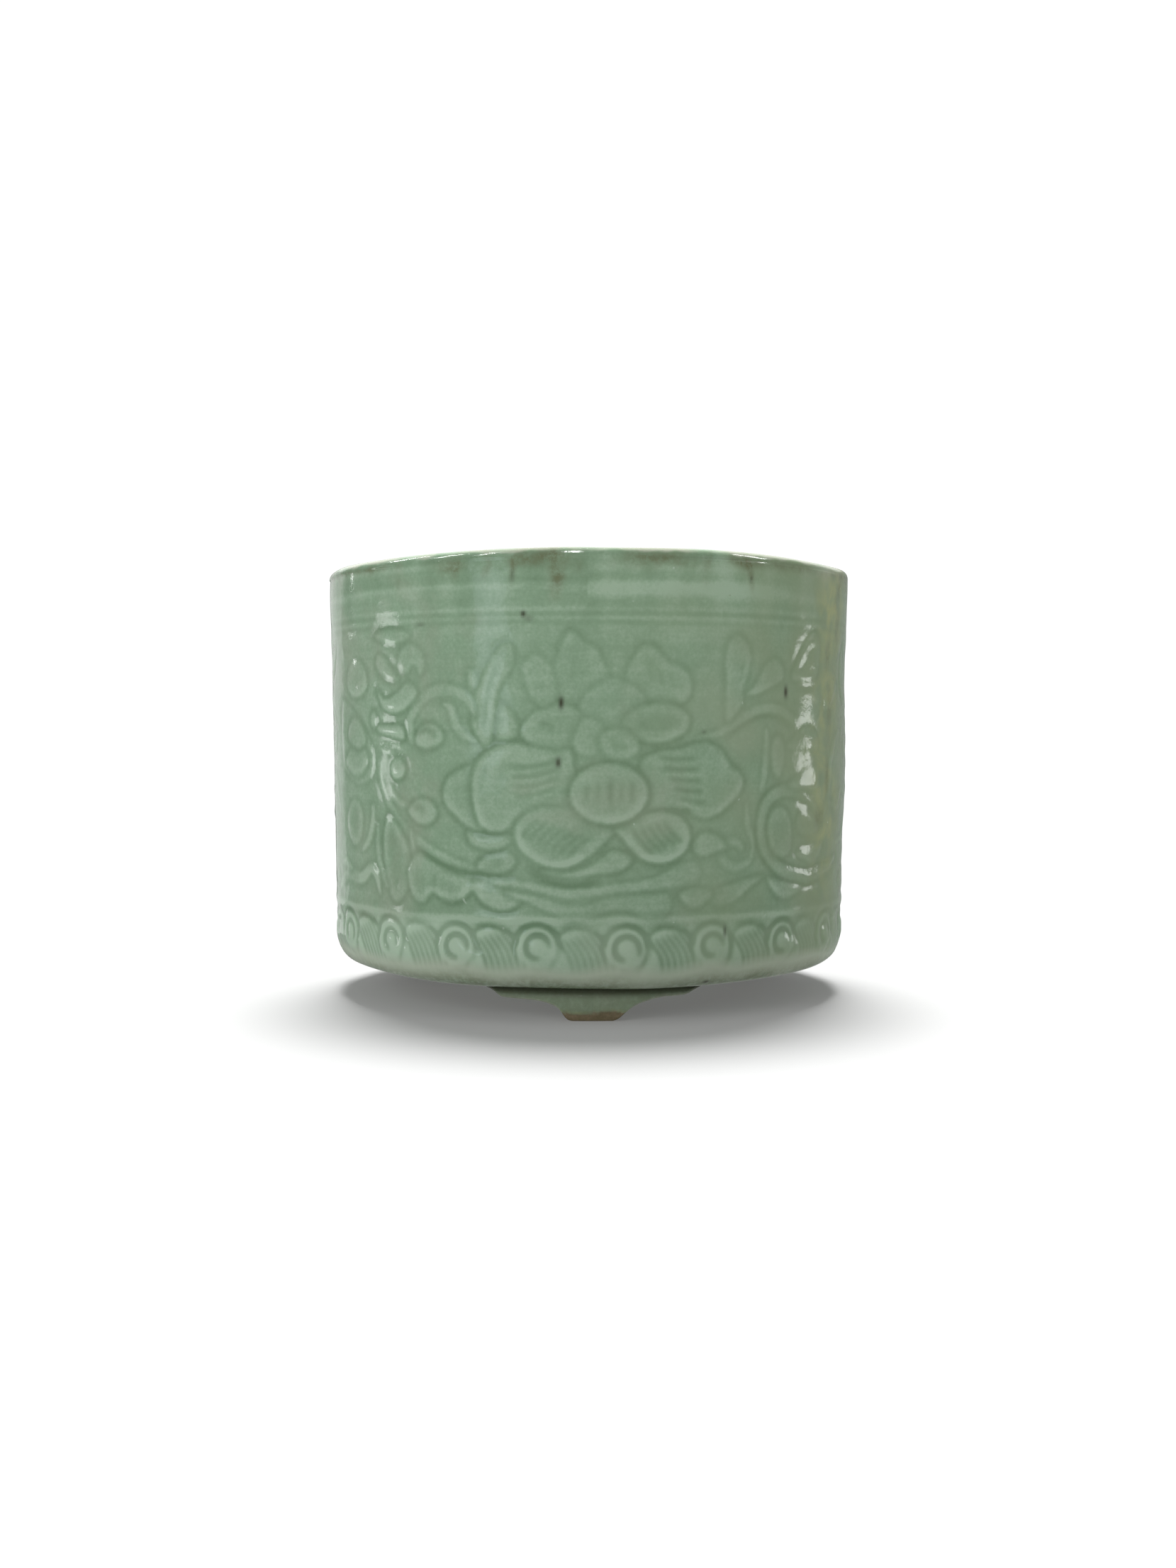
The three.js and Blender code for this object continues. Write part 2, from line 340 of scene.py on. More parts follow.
def carve_under_leaves(c):
    """The long leaves that sweep under the flower, and the small ones on its right."""
    # lobed leaf on the left, three rounded lobes
    c.leaf([(-62.4, 47), (-62.2, 41), (-59.6, 37), (-55.6, 36.4), (-52.4, 39.4), (-49.4, 38.2),
        (-45.4, 37), (-40.8, 38), (-37.4, 40.6), (-34.4, 37.4), (-29.6, 35.2), (-24.8, 35.4),
        (-20.6, 38.4), (-19.4, 42), (-24, 44.2), (-31, 45.4), (-38, 46), (-45, 47.4), (-52, 49.4),
        (-58, 52)], rise=1.3, dish=0.5)
    c.groove([(-52, 40.2), (-51.4, 45.4)], 0.55, 0.8)
    c.groove([(-37.2, 41.2), (-37.8, 44.6)], 0.55, 0.8)
    c.groove([(-58.6, 53.4), (-51, 49.4), (-44, 46.4), (-37, 45), (-30, 44.4)], 0.8, 0.9)
    # sinuous leaf with its round bright end
    c.stem([(-26, 40.6), (-19, 39), (-12.6, 36.8), (-6, 34.8), (0, 35.2), (6.4, 37.4), (12.4, 38),
        (17.6, 36.8), (22.6, 37)], [0.5, 1.4, 1.9, 2.2, 2.0, 2.2, 2.8, 3.6, 3.7], rise=1.6)
    c.groove([(15.6, 38.4), (19.4, 38)], 0.5, 0.8)
    c.stem([(-31, 43.4), (-22, 43.2), (-14, 41.8), (-7, 40.6), (0, 41), (8, 42), (15.4, 42.8),
        (21.6, 43.6), (27.4, 45.2), (32.4, 46.4)],
        [0.5, 1.2, 1.5, 1.7, 1.7, 1.6, 1.7, 2.2, 3.2, 3.7], rise=1.5)
    c.groove([(24, 44.8), (30.6, 44.6)], 0.5, 0.9)
    # deep pool under the petals, and the leaf that crosses it
    c.groove([(-19.6, 49.2), (-16, 46.2), (-11.4, 43.8), (-6, 42.9), (0, 43.6), (4, 44.6)], 0.9, 1.5)
    c.leaf([(-15.6, 47.4), (-9, 45.4), (-3.4, 45.4), (2.4, 46.4), (7.4, 46.8), (11.6, 48.2), (13.6, 51),
        (11, 53), (6.8, 53.6), (3.4, 51), (-1, 48.6), (-7, 47.2)], dish=0.5)
    c.leaf([(38.4, 38.8), (40.4, 36.4), (44.6, 36), (49.6, 37.6), (54.4, 40.8), (60.4, 44.4),
        (54, 44.2), (47, 42.6), (41.4, 41)], rise=1.4, dish=0.5)
    c.leaf([(28.4, 40), (30.4, 37), (34, 35.6), (38, 37.2), (40.2, 40.4), (36.6, 41.6), (32, 41.6)],
           rise=1.2, dish=0.3)
    c.leaf([(61.6, 44), (63.2, 40.4), (66.6, 37.4), (71, 36.6), (76.4, 37.6), (80.4, 39.6),
        (74.6, 41.2), (68, 42.6)], rise=1.2, dish=0.4)
    c.leaf([(33.2, 53.4), (34.8, 57.8), (38.6, 58.8), (43, 57), (45.2, 53.6), (41, 52.4), (36.6, 51.2)],
           rise=1.3, dish=0.3)


def carve_left(c):
    """Scrolls and leaves on the left of the flower."""
    # upright forked leaf beside the flower
    c.leaf([(-29.4, 97.6), (-25.4, 97.2), (-22.4, 93.4), (-21.4, 89), (-25, 86.8), (-29.4, 88)],
           rise=1.2, dish=0.3)
    c.leaf([(-38.6, 108.4), (-36, 107.6), (-34.6, 103), (-35.2, 98), (-38, 102.4)], dish=0.3)
    c.leaf([(-25, 116.6), (-22.8, 113.4), (-23.6, 108.8), (-26.6, 104.6), (-28.6, 99), (-29.6, 91),
        (-31.6, 84.4), (-34.8, 87.4), (-37.4, 92), (-37, 98), (-34.4, 104), (-31.6, 110),
        (-28.6, 114.6)], rise=1.2, dish=0.5)
    c.groove([(-28.2, 110.5), (-31, 104), (-32.4, 96), (-33.2, 89)], 0.45, 0.7)
    # scroll that curls round to a knob
    c.stem([(-36.2, 94.5), (-38.8, 99.6), (-44.6, 102.3), (-51.4, 101.8), (-57.4, 98.2), (-61, 92.8),
        (-60.4, 87.6), (-57, 85.4)], [0.6, 1.6, 1.9, 2.0, 1.9, 1.8, 1.6, 1.2], rise=1.2)
    c.leaf([(-58.8, 86.4), (-57, 90.6), (-52.8, 92.2), (-48.2, 90.2), (-47.6, 86.6), (-51.4, 84.6),
        (-55.8, 84.4)], rise=1.4, dish=0)
    c.groove([(-57.4, 88.4), (-54.6, 90.2), (-51.6, 89.2), (-50.8, 86.8)], 0.7, 0.8)
    c.stem([(-47.4, 98.2), (-44.4, 96.6), (-43, 92), (-40, 88.4), (-35.8, 86.4)],
        [0.6, 1.4, 1.6, 1.4, 0.5])
    # long stem down to the lower leaves, with the round fruit that curls off it
    c.stem([(-76.4, 80), (-75, 74), (-71.4, 67.4), (-66, 61), (-59, 56), (-50, 51.4), (-41, 48.4),
        (-34.5, 47.4)], [0.9, 1.4, 1.6, 1.7, 1.8, 1.8, 1.5, 0.6], rise=1.2)
    c.leaf([(-36, 47.8), (-33.8, 51), (-29, 52.4), (-24.6, 52.6), (-22.6, 50), (-25.6, 47), (-31, 46)],
           dish=0.4)
    c.comb([(-34, 48), (-27, 50.8)], [(-31, 46.8), (-25, 49)], 3, 0.4)
    c.leaf([(-39, 59.6), (-38.4, 55.8), (-34.6, 53.8), (-29.4, 53.6), (-25, 55.4), (-23, 58),
        (-27, 58.2), (-33, 57.8)], rise=1.2, dish=0.2)
    c.stem([(-71, 73.6), (-68.4, 69), (-64, 66.6), (-59.6, 66.4)], [0.9, 1.3, 1.3, 1.0], rise=1.4)
    c.leaf([(-62.4, 65), (-58.6, 68.2), (-54.4, 68.8), (-51, 66.8), (-50.2, 63.8), (-52.4, 61.2),
        (-56.4, 60.4), (-60, 62)], rise=1.5, dish=0.3)
    c.groove([(-59.5, 65.6), (-57, 65.8), (-55.2, 64.6)], 0.7, 0.8)
    # hollow hanging leaf and its narrow neighbour
    c.leaf([(-71.6, 63.4), (-67, 60), (-63.2, 55.4), (-61.2, 49.4), (-61.6, 43), (-64.8, 37.6),
        (-68.8, 35.6), (-72.4, 39.4), (-74.4, 45.6), (-75.2, 52.4), (-74.2, 58.6)], rise=1.5,
           dish=3.2)
    c.stem([(-61.4, 59), (-60.2, 53), (-59.8, 47.6)], [0.5, 1.1, 0.6], rise=1.3)
    c.stem([(-77.4, 60), (-78, 53), (-76.6, 46.4), (-73.2, 40.4)], [0.7, 1.3, 1.5, 0.7], rise=1.6)
    # sprays above the stem
    c.leaf([(-79, 119.8), (-73.6, 121.6), (-66.4, 121.6), (-60.4, 119.6), (-65, 117.2), (-72, 117.2)],
           rise=1.4, dish=0.3)
    c.leaf([(-78.4, 111), (-77, 114), (-73.4, 113.2), (-69.6, 109.6), (-66, 105.8), (-70.6, 105.6),
        (-75.8, 107.8)], rise=1.6, dish=0.8)
    c.leaf([(-66.6, 110.4), (-65, 115), (-60.6, 117), (-56, 114.6), (-54.6, 110), (-56.6, 106.6),
        (-59, 110.2), (-62.4, 107.4)], rise=1.4, dish=0.3)
    c.leaf([(-78, 103.6), (-73.4, 100), (-68, 101.2), (-61.4, 105), (-57.6, 101.4), (-62.4, 96.8),
        (-68.4, 95.2), (-74.4, 97)], rise=1.5, dish=0.8)
    c.leaf([(-81.6, 93), (-80.4, 96), (-78, 95.4), (-77.4, 92), (-79.4, 90)], rise=1.4, dish=0)
    c.leaf([(-77.8, 91.2), (-71, 91.8), (-64.4, 91), (-63.6, 87), (-69.6, 87.8), (-76, 89)], rise=1.4,
           dish=0.2)
    c.stem([(-77, 84.2), (-70.6, 82.8), (-63.6, 80.8)], [0.6, 1.1, 0.7], rise=1.4)
    c.leaf([(-70.8, 77.8), (-69, 81), (-65.6, 81.2), (-63, 78.6), (-64.4, 75.2), (-68.6, 74.6)],
           rise=1.5, dish=0.2)
    # flower seen edge-on at the turn of the wall, and the leaves round it
    c.leaf([(-104, 99.6), (-98, 98.4), (-92, 95.6), (-86, 91.4), (-81, 86), (-79, 80), (-81, 74.6),
        (-87, 72.6), (-94, 73.4), (-100, 76), (-104, 82), (-105.4, 91)], rise=1.2)
    c.leaf([(-98.4, 88), (-95.6, 93), (-90.6, 94), (-86, 90.4), (-84, 86), (-88, 83.6), (-94, 84.6)],
           rise=1.3)
    c.leaf([(-100, 80), (-95.6, 84), (-89.6, 82.8), (-84.4, 84), (-83, 79.4), (-87.6, 75.4),
        (-95, 75.6)], dish=2)
    c.leaf([(-99.4, 59.4), (-97.4, 65.6), (-92, 67.8), (-87.4, 65), (-86.8, 59), (-89.6, 53.6),
        (-95, 52.8)], rise=1.2, dish=3.2)
    c.stem([(-112, 37.4), (-106, 40.4), (-99.4, 43.2), (-93, 42), (-87.6, 42.4), (-82, 45.6),
        (-78.6, 43), (-77, 38)], [0.8, 2.0, 2.6, 2.4, 2.2, 2.0, 1.5, 0.9], rise=1.7)
    c.stem([(-108, 46), (-102, 46.6), (-97, 44.6)], [0.6, 1.6, 0.8], rise=1.2)
    c.stem([(-88, 51), (-83.4, 54.4), (-80.6, 60), (-80.4, 66)], [0.7, 1.5, 1.5, 0.7])
    c.leaf([(-99, 104.6), (-97, 110.4), (-91, 113), (-85, 110), (-83.4, 104.6), (-87, 101),
        (-94, 100.6)])


def carve_right(c):
    """Scrolls and leaves on the right of the flower."""
    c.stem([(34, 87.6), (40.5, 88.6), (46.5, 91.4), (52.6, 94.6), (59, 96.6), (66, 96.4), (72.6, 93.6),
        (77, 88.6)], [0.6, 1.2, 1.4, 1.6, 1.7, 1.7, 1.5, 0.7])
    c.groove([(44, 86.4), (48, 89.6), (53, 92.4), (58, 94.2), (63, 94.4), (68, 93.2),
        (73, 90)], 0.7, 0.8)
    c.leaf([(43.8, 112), (45.3, 117), (48.6, 119.4), (52, 117.4), (54, 112.6), (53, 107.5), (51.2, 103),
        (51, 98.6), (48, 94.6), (44.6, 92.6), (44.2, 99), (44.2, 105.6)], rise=1.2, dish=0.4)
    c.groove([(50.6, 112.4), (50.4, 108), (49.2, 104)], 0.5, 0.7)
    c.leaf([(52, 100.8), (55, 103.6), (57.6, 107), (60.4, 110.8), (64.6, 112.4), (68.2, 110),
        (67.8, 105.6), (63, 103.4), (57, 101.2)], rise=1.3, dish=0.6)
    # upright stem with a hollow lobe beside it
    c.stem([(60.6, 90), (60.8, 84), (60, 77), (58.6, 71.4)], [0.8, 1.6, 1.6, 0.9], rise=1.4)
    c.leaf([(62.6, 82.6), (64, 87.6), (67, 88.4), (68.8, 84.6), (68.6, 79), (66.6, 75), (63.8, 76.6)],
           rise=1.3, dish=2)
    # big round scroll: an outer band that runs off to the right, round a striped ball
    c.stem([(89.6, 63.6), (84.6, 66.6), (79, 69.2), (72.6, 70.8), (66, 70.4), (60.8, 67), (58.8, 61),
        (59.6, 54.6), (63.4, 49.4), (69, 45.8), (76, 43.6), (84, 42.8), (92, 44), (100, 45.6),
        (107, 48)], [0.8, 1.5, 1.9, 2.0, 2.0, 2.0, 1.9, 2.0, 2.1, 2.2, 2.2, 2.1, 1.9, 1.6, 0.9],
           rise=1.3, depth=2.3)
    c.leaf([(61.8, 58), (62.2, 62.6), (65.4, 65.8), (69.4, 65.4), (72.2, 61.8), (73.6, 57), (73.2, 52),
        (69.4, 49.8), (65, 51), (62.6, 54)], rise=1.0, dish=0.2, depth=1.3)
    c.comb([(63.8, 61), (66, 54)], [(69.6, 62.6), (71.4, 55.4)], 4, 0.35)
    c.leaf([(75.6, 61.6), (79.4, 65.4), (84.4, 63.6), (89, 60.4), (90, 57.4), (85.6, 56.2), (80, 56.4),
        (76.8, 58)], rise=1.4, dish=0.5)
    c.leaf([(76, 50.4), (81.6, 48), (87, 46.8), (91.4, 49.4), (94.4, 53), (90, 53.6), (85, 52.4),
        (80, 52.4)], rise=1.5, dish=0.5)
    # small curl between the flower and the big scroll
    c.stem([(52.6, 67), (53, 61), (55.2, 55), (54.4, 50), (50.2, 47.8), (46, 48.3), (43.4, 51.2),
        (44.4, 54.6), (48.2, 55.5), (50.8, 53.6)], [0.8, 1.4, 0.7, 1.2, 1.5, 1.8, 1.8, 1.6, 1.3],
           rise=1.3)
    # sprays where the wall turns away
    c.leaf([(72.6, 106.4), (75.6, 112.8), (80, 118.4), (85.6, 121.6), (89, 119.6), (89.4, 112.6),
        (87, 106.4), (80.6, 104.8)], rise=1.3, dish=0.5)
    c.groove([(76.4, 108.6), (81, 113), (85.6, 118)], 0.5, 0.8)
    c.leaf([(70, 84.4), (74, 88), (79, 91.4), (84.6, 91), (88.8, 87.6), (88.6, 83.6), (80, 83.4)],
           rise=1.4, dish=0.8)
    c.leaf([(71, 72.4), (75.6, 76), (81.4, 78.8), (88.4, 79), (89.6, 74.6), (88.4, 71), (81, 70.6)],
           rise=1.4, dish=0.8)
    c.sprig((88, 92), (93, 96.6), (107, 104.6), 3.6)
    c.stem([(94, 62), (97.4, 69.4), (98.4, 78), (102.6, 85.4), (108, 89.6)], [0.9, 1.8, 1.9, 1.7, 0.7])
    c.sprig((96.6, 66.4), (100.6, 65.4), (112.6, 70.4), 3.4, -0.12)


def carve_far(c):
    """Leaves and scrolls round the rest of the wall, between one flower and the next."""
    c.stem([(108, 52.6), (116, 54), (123.6, 58.6), (129, 65.6), (131.6, 74), (131.4, 83), (127.6, 90.4),
        (120.6, 93.6), (114.4, 91), (112.4, 84.6), (115.4, 79.4), (120.6, 79)],
        [0.9, 1.6, 1.8, 2.0, 2.0, 2.0, 1.9, 1.8, 1.7, 1.6, 1.4, 1.3], rise=1.3)
    c.leaf([(115, 84.6), (117.6, 88.6), (122, 87.8), (124, 83.6), (121, 80.6), (117, 80.8)], rise=1.4,
           dish=0.2)
    c.sprig((121, 92.6), (118.6, 98.4), (113, 118), 4.2)
    c.sprig((127.6, 90.4), (131, 96), (139, 118), 4.6, -0.14)
    c.sprig((131.4, 83), (136, 86), (153.6, 93.4), 4.2)
    c.sprig((129, 65.6), (126.4, 68.6), (115.4, 69.4), 3.2, -0.1)
    c.sprig((131.6, 74), (136, 75), (153.4, 70.6), 4.2, -0.12)
    c.stem([(127, 47.4), (135, 51.6), (142, 58), (150, 62.4), (158.6, 64.4)], [0.8, 1.7, 1.9, 1.8, 0.9],
           rise=1.2)
    c.leaf([(112, 39.4), (118.6, 43.6), (127, 44.4), (134, 41.6), (138.4, 37), (129.4, 35.6),
        (119.4, 36)], rise=1.4)
    c.sprig((137, 53.4), (141.6, 48.6), (157, 37.6), 4.4)
    c.sprig((157.4, 44), (161, 41.6), (176, 36.4), 3.0, 0.2)
    c.stem([(150.6, 119), (153, 110), (158, 101.6), (165, 95.4), (171.6, 91.6)],
        [0.7, 1.5, 1.7, 1.6, 0.7])
    c.sprig((155.4, 105.6), (159.6, 107.4), (173, 118.6), 4.2)
    c.stem([(156, 80.4), (163, 77.6), (169.6, 71.6), (173.6, 64)], [0.7, 1.5, 1.5, 0.7], rise=1.2)
    c.sprig((160, 78.8), (161.4, 83.4), (168, 92.4), 3.2, -0.12)


def carve_waves(c):
    """Border of rolling waves all the way round: a comb-stroked swell, then a crest that curls up."""
    drift = rng(3).uniform(-0.9, 0.9, WAVES)
    middles = [(FIRST_WAVE + k * ROUND / WAVES + drift[k], WAVE_Z + 0.4 * math.sin(2.4 * k))
               for k in range(WAVES)]
    for s0, z0 in middles:
        c.leaf([(s0 - 22.4, 13), (s0 - 22.2, 20), (s0 - 21.4, 26), (s0 - 19.4, 28.6), (s0 - 16.4, 29.6),
            (s0 - 12.4, 29.1), (s0 - 9, 27.8), (s0 - 6.4, 25.8), (s0 - 3.8, 21.4), (s0 - 1.4, 17),
            (s0 + 0.6, 13)], depth=1.5, dish=0.2, rise=-0.8)
        c.comb([(s0 - 21.4, 26.4), (s0 - 16.2, 14)], [(s0 - 10.2, 29.4), (s0 - 3.4, 15.4)], 7, 2.3,
               bow=0.1, width=0.46)
    for s0, z0 in middles:
        c.curl(s0, z0)


def carve_lines():
    """A pair of incised lines over the carved field, and a raised line between the field and the waves."""
    steps = np.linspace(-ROUND / 2, ROUND / 2, 121)
    for middle, wave, rise, width in RING_LINES:
        height = middle + wave * np.sin(steps / 23.0 + middle)
        (rows, columns), s, z = patch(np.column_stack([steps, height]), 4.0)
        off = z - np.interp(s[0], steps, height)
        mark = rise * np.exp(-((off / width) ** 2))
        answer = 0.5 * rise * np.exp(-(((off - 2.1 * width) / width) ** 2))
        clay[rows, columns[:, :MAP_COLS]] += (mark - answer)[:, :MAP_COLS]


def blur(field, sigma):
    """Gaussian blur of the map, in millimetres. It wraps round the pot."""
    reach = max(1, int(3 * sigma / MAP_STEP))
    kernel = np.exp(-0.5 * (np.arange(-reach, reach + 1) * MAP_STEP / sigma) ** 2)
    kernel /= kernel.sum()
    tall = np.pad(field, ((reach, reach), (0, 0)), mode="edge")
    mixed = sum(w * tall[k : k + field.shape[0]] for k, w in enumerate(kernel))
    wide = np.pad(mixed, ((0, 0), (reach, reach)), mode="wrap")
    return sum(w * wide[:, k : k + field.shape[1]] for k, w in enumerate(kernel))


def soft_noise(seed, size):
    """Smooth random map with features of about the given size in millimetres, spread of 1."""
    field = rng(seed).standard_normal((MAP_ROWS, MAP_COLS))
    field = blur(field, size)
    return field / field.std()


for number, sway in ((1, 1.8), (0, 0.0)):
    carver = Carver(number * REPEAT, sway, 2.1 * number)
    for cut in (carve_far, carve_left, carve_right, carve_under_leaves, carve_flower):
        cut(carver)
plain = Carver(0.0, 0.0, 0.0)
carve_waves(plain)
carved_height = np.clip((heights - 14.0) / 3.5, 0, 1)[:, None]
# cuts are shallower in the upper petals of the flower, and where the wall turns away on its left
from_flower = (np.arange(MAP_COLS) * MAP_STEP + REPEAT / 2) % REPEAT - REPEAT / 2
upper_petals = -(((from_flower[None, :] - 8) / 38) ** 2) - ((heights[:, None] - 106) / 16) ** 2
faint = 1 - 0.42 * np.exp(upper_petals)
faint -= 0.4 * np.exp(-(((from_flower[None, :] + 94) / 13) ** 2)) * scraped[:, None]
clay *= carved_height * faint * np.clip(0.85 + 0.24 * soft_noise(14, 8), 0.4, 1.2)
carve_lines()

# The glaze levels the carving: it pools in the cuts and thins on the edges.
surface = RELIEF * blur(clay, 1.05)
below_lines = np.clip((128.0 - heights) / 4, 0.35, 1)[:, None]
surface += 0.10 * soft_noise(11, 9)
surface += below_lines * (0.05 * soft_noise(12, 3.2) + 0.012 * soft_noise(13, 1.1))
pooled_and_shade = 0.68 * blur(clay, 2.8) - blur(clay, 0.45)


def on_map(field, s, z):
    """Reads a map at arc positions and heights."""
    col = (s / MAP_STEP) % MAP_COLS
    row = np.clip((z - MAP_Z0) / MAP_STEP, 0, MAP_ROWS - 1.001)
    c0, r0 = np.floor(col).astype(int), np.floor(row).astype(int)
    fc, fr = col - c0, row - r0
    c0, c1 = c0 % MAP_COLS, (c0 + 1) % MAP_COLS
    top = field[r0 + 1, c0] * (1 - fc) + field[r0 + 1, c1] * fc
    low = field[r0, c0] * (1 - fc) + field[r0, c1] * fc
    return low * (1 - fr) + top * fr


# ---- mesh helpers
def curve2(a, pull, b, count):
    """Points on a quadratic curve, without the last one."""
    t = np.linspace(0, 1, count, endpoint=False)[:, None]
    a, pull, b = (np.array(p, float) for p in (a, pull, b))
    return a * (1 - t) ** 2 + pull * 2 * t * (1 - t) + b * t**2


def straight(a, b, count):
    t = np.linspace(0, 1, count, endpoint=False)[:, None]
    return np.array(a, float) * (1 - t) + np.array(b, float) * t


def grid_mesh(name, points, close_rows, material, attributes):
    """A mesh from a (rows, columns, 3) array of millimetre points, closed round the columns.
    It is closed over the rows too, or its first and last rows are each filled with one face."""
    rows, cols = points.shape[:2]
    co = (points.reshape(-1, 3) * MM).astype(np.float32)
    i = np.arange(rows if close_rows else rows - 1)[:, None] * cols
    j = np.arange(cols)[None, :]
    up = (i + cols) % (rows * cols)
    right = (j + 1) % cols
    quads = np.stack([i + j, i + right, up + right, up + j], -1).reshape(-1, 4)
    mesh = bpy.data.meshes.new(name)
    faces = quads.tolist()
    if not close_rows:
        faces.append(list(range(cols))[::-1])
        faces.append(list(range((rows - 1) * cols, rows * cols)))
    mesh.from_pydata(co.tolist(), [], faces)
    for key, values in attributes.items():
        layer = mesh.attributes.new(key, "FLOAT", "POINT")
        layer.data.foreach_set("value", np.ascontiguousarray(values, np.float32).ravel())
    mesh.polygons.foreach_set("use_smooth", [True] * len(mesh.polygons))
    mesh.materials.append(material)
    mesh.update()
    piece = bpy.data.objects.new(name, mesh)
    bpy.context.scene.collection.objects.link(piece)
    return piece


# ---- materials
class Nodes:
    """Short names for building one node tree."""

    def __init__(self, material):
        material.use_nodes = True
        self.tree = material.node_tree
        self.tree.nodes.clear()

    def add(self, kind, **values):
        """A new node. Each value is a property of it or, where it has none of that name, an input socket."""
        node = self.tree.nodes.new(kind)
        for key, value in values.items():
            if hasattr(node, key):
                setattr(node, key, value)
            else:
                node.inputs[key.replace("_", " ")].default_value = value
        return node

    def link(self, source, target):
        self.tree.links.new(source, target)

    def attribute(self, name):
        return self.add("ShaderNodeAttribute", attribute_name=name).outputs["Fac"]

    def noise(self, scale, detail=4.0, rough=0.55, vector=None, warp=0.0):
        node = self.add("ShaderNodeTexNoise", Scale=scale, Detail=detail, Roughness=rough, Distortion=warp)
        self.link(vector or self.place(), node.inputs["Vector"])
        return node.outputs["Fac"]

    def place(self):
        return self.add("ShaderNodeTexCoord").outputs["Object"]

    def stretched(self, scale):
        """Object coordinates scaled by a different number along each axis."""
        node = self.add("ShaderNodeMapping", Scale=scale)
        self.link(self.place(), node.inputs["Vector"])
        return node.outputs[0]

    def math(self, operation, a, b):
        node = self.add("ShaderNodeMath", operation=operation)
        for socket, value in zip(node.inputs, (a, b)):
            if isinstance(value, (int, float)):
                socket.default_value = value
            else:
                self.link(value, socket)
        return node.outputs[0]

    def plus(self, a, b):
        return self.math("ADD", a, b)

    def times(self, a, b):
        return self.math("MULTIPLY", a, b)

    def span(self, value, low, high, out_low=0.0, out_high=1.0):
        node = self.add("ShaderNodeMapRange", interpolation_type="SMOOTHSTEP")
        for socket, number in zip(list(node.inputs)[1:5], (low, high, out_low, out_high)):
            socket.default_value = number
        self.link(value, node.inputs[0])
        return node.outputs[0]

    def mix(self, amount, a, b):
        node = self.add("ShaderNodeMix", data_type="RGBA")
        for socket, value in zip((node.inputs[0], node.inputs[6], node.inputs[7]), (amount, a, b)):
            if isinstance(value, (int, float)):
                socket.default_value = value
            elif isinstance(value, tuple):
                socket.default_value = (*value, 1.0)
            else:
                self.link(value, socket)
        return node.outputs[2]

    def ramp(self, value, stops):
        node = self.add("ShaderNodeValToRGB")
        ramp = node.color_ramp
        while len(ramp.elements) < len(stops):
            ramp.elements.new(0.5)
        for element, (at, colour) in zip(ramp.elements, stops):
            element.position = at
            element.color = (*colour, 1.0)
        self.link(value, node.inputs[0])
        return node.outputs[0]

    def finish(self, source, kind):
        """Adds the output node of a material or a world."""
        self.link(source, self.add(kind).inputs["Surface"])


GLAZE_THIN = (0.335, 0.45, 0.335)
GLAZE_MID = (0.225, 0.335, 0.226)
GLAZE_DEEP = (0.14, 0.23, 0.138)
GREY_MOTTLE = (0.34, 0.35, 0.28)
IRON_AND_SHADE = (0.03, 0.022, 0.012)
IRON_WASH_AND_SHADE = (0.132, 0.15, 0.08)
CREAM_AND_HIGHLIGHT = (0.41, 0.44, 0.35)
PALE = (0.43, 0.56, 0.43)
PALE_SPECK = (0.5, 0.58, 0.5)
WARM = (0.222, 0.282, 0.168)
BARE_CLAY = (0.16, 0.128, 0.066)
BARE_CLAY_LIGHT = (0.24, 0.19, 0.115)
OCHRE = (0.36, 0.39, 0.185)
ASH_AND_BOUNCE_LIGHT = (0.44, 0.49, 0.39)


def glaze_tone(n, cloud, mottle, speckle, grain, brushed):
    """Plain glaze: darker where it pools and where shade is painted on the feet, lighter along a painted
    highlight on their lower edges, clouded and brushed a little.
    """
    level = n.plus(n.times(n.attribute("pooled_and_shade"), 0.98), 0.345)
    for pattern, share in ((cloud, 0.45), (mottle, 0.4), (speckle, 0.4), (grain, 0.6), (brushed, 0.3)):
        level = n.plus(level, n.times(n.math("SUBTRACT", pattern, 0.5), share))
    return n.ramp(level, [(0.0, GLAZE_THIN), (0.42, GLAZE_MID), (1.0, GLAZE_DEEP)])


